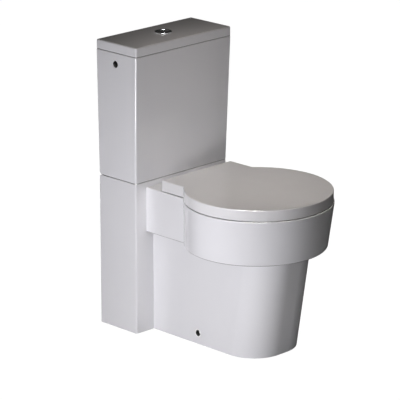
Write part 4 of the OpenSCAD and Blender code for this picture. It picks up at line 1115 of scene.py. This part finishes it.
def make_studs():
    low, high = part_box("hinge_studs")
    studs = threads("hinge_studs_cut", "hinge_studs", high.x - HINGE_X, high.z - low.z, STUD_THREAD,
                    28, 2 * HINGE_X)
    studs.data.transform(Matrix.Translation((0, HINGE.y, (low.z + high.z) / 2)))
    return dress(shaded(studs), "hinge_studs")


def make_fill_valve():
    """Fill valve whose tail has a real thread beyond the back nut."""
    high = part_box("fill_valve_body")[1]
    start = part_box("inlet_back_nut")[1].x + OVER
    end_low, end_high = reach("fill_valve_body", lambda c: c.x > high.x - HAIR)
    z = (end_low.z + end_high.z) / 2
    r = (end_high.z - end_low.z) / 2
    bore_r = min(math.hypot(v.co.y - VALVE_Y, v.co.z - z)
                 for v in frame["nodes"]["fill_valve_body"].data.vertices if v.co.x > high.x - HAIR)
    body = softened(merged("fill_valve_body"), VALVE_EDGE)
    cut(body, block(start, high.x + OVER, VALVE_Y - 2 * r, VALVE_Y + 2 * r, z - 2 * r, z + 2 * r))
    tail = threads("tail", "fill_valve_body", r, high.x - start + OVER, INLET_THREAD, 64)
    tail.data.transform(Matrix.Translation(((start + high.x - OVER) / 2, VALVE_Y, z)) @ ALONG_X)
    join(body, tail)
    cut(body, rod("bore", (high.x - INLET_DRILL_IN, VALVE_Y, z), bore_r, INLET_DRILL, "X", 48))
    return dress(shaded(body), "fill_valve_body")


def make_flush_valve():
    """Flush valve whose tail has a real thread under the back nut."""
    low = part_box("flush_valve_body")[0]
    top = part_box("flush_valve_back_nut")[0].z - OVER / 2
    rims = [math.hypot(v.co.x, v.co.y - VALVE_Y)
            for v in frame["nodes"]["flush_valve_body"].data.vertices if v.co.z < low.z + HAIR]
    body = softened(merged("flush_valve_body"), VALVE_EDGE)
    room = 2 * max(rims)
    cut(body, block(-room, room, VALVE_Y - room, VALVE_Y + room, low.z - OVER, top))
    tail = threads("tail", "flush_valve_body", max(rims), top - low.z + OVER, OUTLET_THREAD, 96)
    tail.data.transform(Matrix.Translation((0, VALVE_Y, (top + low.z + OVER) / 2)))
    cut(tail, rod("bore", (0, VALVE_Y, low.z), min(rims), OUTLET_DRILL, steps=96))
    join(body, tail)
    return dress(shaded(body), "flush_valve_body")


def make_spring(name, node):
    """Coil spring with closed ends."""
    low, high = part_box(node)
    open_pitch = (high.z - low.z - 2 * WIRE_R - 2 * CLOSED_PITCH) / (COILS - 2)
    x, y = (low.x + high.x) / 2, (low.y + high.y) / 2
    r = (high.x - low.x) / 2 - WIRE_R
    rings = []
    for i in range(COILS * COIL_STEPS + 1):
        t = i / COIL_STEPS
        rise = CLOSED_PITCH * (min(t, 1) + max(t - COILS + 1, 0)) + open_pitch * min(max(t - 1, 0), COILS - 2)
        turn = Matrix.Translation((x, y, low.z + WIRE_R + rise)) @ Matrix.Rotation(2 * math.pi * t, 4, "Z")
        rings.append([turn @ Vector((r + u, 0, v)) for u, v in ring(0, 0, WIRE_R, 12)])
    spring = dress(shaded(loft(name, rings)), node)
    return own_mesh(spring)


# ------------------------------------------------------------------ the pieces

make_bolts()
make_studs()
make_fill_valve()
make_flush_valve()
make_spring("full_flush_spring", "full_button_spring")
make_spring("half_flush_spring", "half_button_spring")
make_pan()
make_cistern()
make_lid()
make_cover()
make_seat()
make_housing()
make_button("full_flush_push", "full_flush_button", FULL_HIGH.x, False)
make_button("half_flush_push", "half_flush_button", HALF_X, True)

for node, obj in frame["nodes"].items():
    obj.data.materials.clear()
    obj.data.materials.append(FINISHES[SLOT[node]])

# ------------------------------------------------------------------ floor, light and camera

FLOOR_GREY = (0.45, 0.45, 0.45, 1)
FLOOR_ROUGH = 0.9
FLOOR_HALF, FLOOR_DEEP = 6, 0.002
FLOOR_GLOW = 1.08          # strength of the even white that the camera sees
FLOOR_GLOW_SHARE = 0.93    # the rest is the floor itself, with the object's faint shadow
FLOOR_MIRRORED = 0.03      # strength of the floor in glossy surfaces
WORLD_GREY = (0.82, 0.79, 0.76, 1)
WORLD_DIM, WORLD_LIT = 0.03, 0.22                      # strength of its light, at the right and at the left
YAW, PITCH = math.radians(45.05), math.radians(17.29)  # the way the camera looks
AIM_LEFT, AIM_DOWN = 0.079, 0.021                      # from the middle of the object
DISTANCE = 6.9
LENS = 234.4               # focal length in millimetres

# lights: centre, target, width, height, watts, colour, spread in degrees, whether glossy surfaces show it
PANELS = {
    "left_panel": ((-1.2, -0.59, 0.29), (0, -0.35, 0.27), 0.7, 0.3, 9.3, (0.995, 0.985, 1.03), 180, True),
    "front_panel": ((-0.75, -1.75, 0.12), (0.02, -0.5, 0.1), 0.4, 0.3, 0.1, (1, 1, 1.02), 42, False),
    "seat_panel": ((-0.12, -0.62, 1.75), (0, -0.44, 0.43), 0.35, 0.35, 0.8, (1.0, 0.93, 0.88), 50, True),
    "back_panel": ((1.55, 1.6, 0.5), (0, -0.2, 0.35), 1.2, 0.5, 15, (0.97, 0.98, 1), 100, False),
    "edge_panel": ((-0.9, -0.9, 1.9), (0, -0.33, 0.38), 1.2, 0.5, 14, (1, 1, 1), 60, True)}


def mixed(tree, factor, first, second):
    """Output of a new Mix Shader node."""
    mix = tree.nodes.new("ShaderNodeMixShader")
    for socket, output in zip(mix.inputs, (factor, first, second)):
        tree.links.new(output, socket)
    return mix.outputs[0]


def glow(tree, kind, strength, colour=(1, 1, 1, 1)):
    """Output of a new Emission or Background node; strength is a number or a socket."""
    node = tree.nodes.new(kind)
    node.inputs["Color"].default_value = colour
    feed(tree, node.inputs["Strength"], strength)
    return node.outputs[0]


def floor_material():
    """Pale floor that the camera sees as even white. Glossy surfaces see it dark, so outlines stay crisp."""
    mat = bpy.data.materials.new("studio_floor")
    mat.use_nodes = True
    tree = mat.node_tree
    shader = tree.nodes["Principled BSDF"]
    shader.inputs["Base Color"].default_value = FLOOR_GREY
    shader.inputs["Roughness"].default_value = FLOOR_ROUGH
    path = tree.nodes.new("ShaderNodeLightPath").outputs
    share = maths(tree, "MULTIPLY", path["Is Camera Ray"], FLOOR_GLOW_SHARE)
    seen = mixed(tree, share, shader.outputs[0], glow(tree, "ShaderNodeEmission", FLOOR_GLOW))
    surface = mixed(tree, path["Is Glossy Ray"], seen, glow(tree, "ShaderNodeEmission", FLOOR_MIRRORED))
    tree.links.new(surface, tree.nodes["Material Output"].inputs["Surface"])
    return mat


def make_floor():
    floor = block(-FLOOR_HALF, FLOOR_HALF, -FLOOR_HALF, FLOOR_HALF, -FLOOR_DEEP, 0)
    floor.name = "studio_floor"
    floor.data.materials.append(floor_material())


def make_world():
    """White for the camera, soft grey for the light that reaches the object, brighter on the left."""
    world = bpy.data.worlds.new("studio")
    bpy.context.scene.world = world
    world.use_nodes = True
    tree = world.node_tree
    tree.nodes.clear()
    coords = tree.nodes.new("ShaderNodeTexCoord")
    split = tree.nodes.new("ShaderNodeSeparateXYZ")
    tree.links.new(coords.outputs["Generated"], split.inputs[0])
    side = tree.nodes.new("ShaderNodeMapRange")
    for label, value in {"From Min": 0.5, "From Max": -1, "To Min": WORLD_DIM, "To Max": WORLD_LIT}.items():
        side.inputs[label].default_value = value
    tree.links.new(split.outputs["X"], side.inputs["Value"])
    soft = glow(tree, "ShaderNodeBackground", side.outputs[0], WORLD_GREY)
    white = glow(tree, "ShaderNodeBackground", 1)
    for_camera = tree.nodes.new("ShaderNodeLightPath").outputs["Is Camera Ray"]
    out = tree.nodes.new("ShaderNodeOutputWorld")
    tree.links.new(mixed(tree, for_camera, soft, white), out.inputs["Surface"])


def panel(name, centre, target, width, height, watts, colour, spread, mirrored):
    """Soft rectangular light that the camera doesn't see."""
    light = bpy.data.lights.new(name, "AREA")
    light.shape = "RECTANGLE"
    light.size = width
    light.size_y = height
    light.energy = watts
    light.color = colour
    light.spread = math.radians(spread)
    obj = bpy.data.objects.new(name, light)
    bpy.context.scene.collection.objects.link(obj)
    obj.location = centre
    obj.rotation_euler = (Vector(target) - Vector(centre)).to_track_quat("-Z", "Y").to_euler()
    obj.visible_camera = False
    obj.visible_glossy = mirrored
    return obj


def make_camera():
    """Long lens that looks down a little at the left front, with the object near the picture's middle."""
    forward = Vector((math.sin(YAW) * math.cos(PITCH), math.cos(YAW) * math.cos(PITCH), -math.sin(PITCH)))
    right = Vector((math.cos(YAW), -math.sin(YAW), 0))
    up = right.cross(forward)
    middle = sum((Vector(c) for c in cad_box), Vector()) / 2
    data = bpy.data.cameras.new("camera")
    data.lens = LENS
    camera = bpy.data.objects.new("camera", data)
    bpy.context.scene.collection.objects.link(camera)
    camera.location = middle - right * AIM_LEFT - up * AIM_DOWN - forward * DISTANCE
    camera.rotation_euler = forward.to_track_quat("-Z", "Y").to_euler()
    bpy.context.scene.camera = camera


make_floor()
make_world()
lights = {name: panel(name, *wanted) for name, wanted in PANELS.items()}
lights["edge_panel"].visible_diffuse = False    # it only draws highlights on edges
make_camera()

bpy.context.scene.view_settings.view_transform = "Standard"
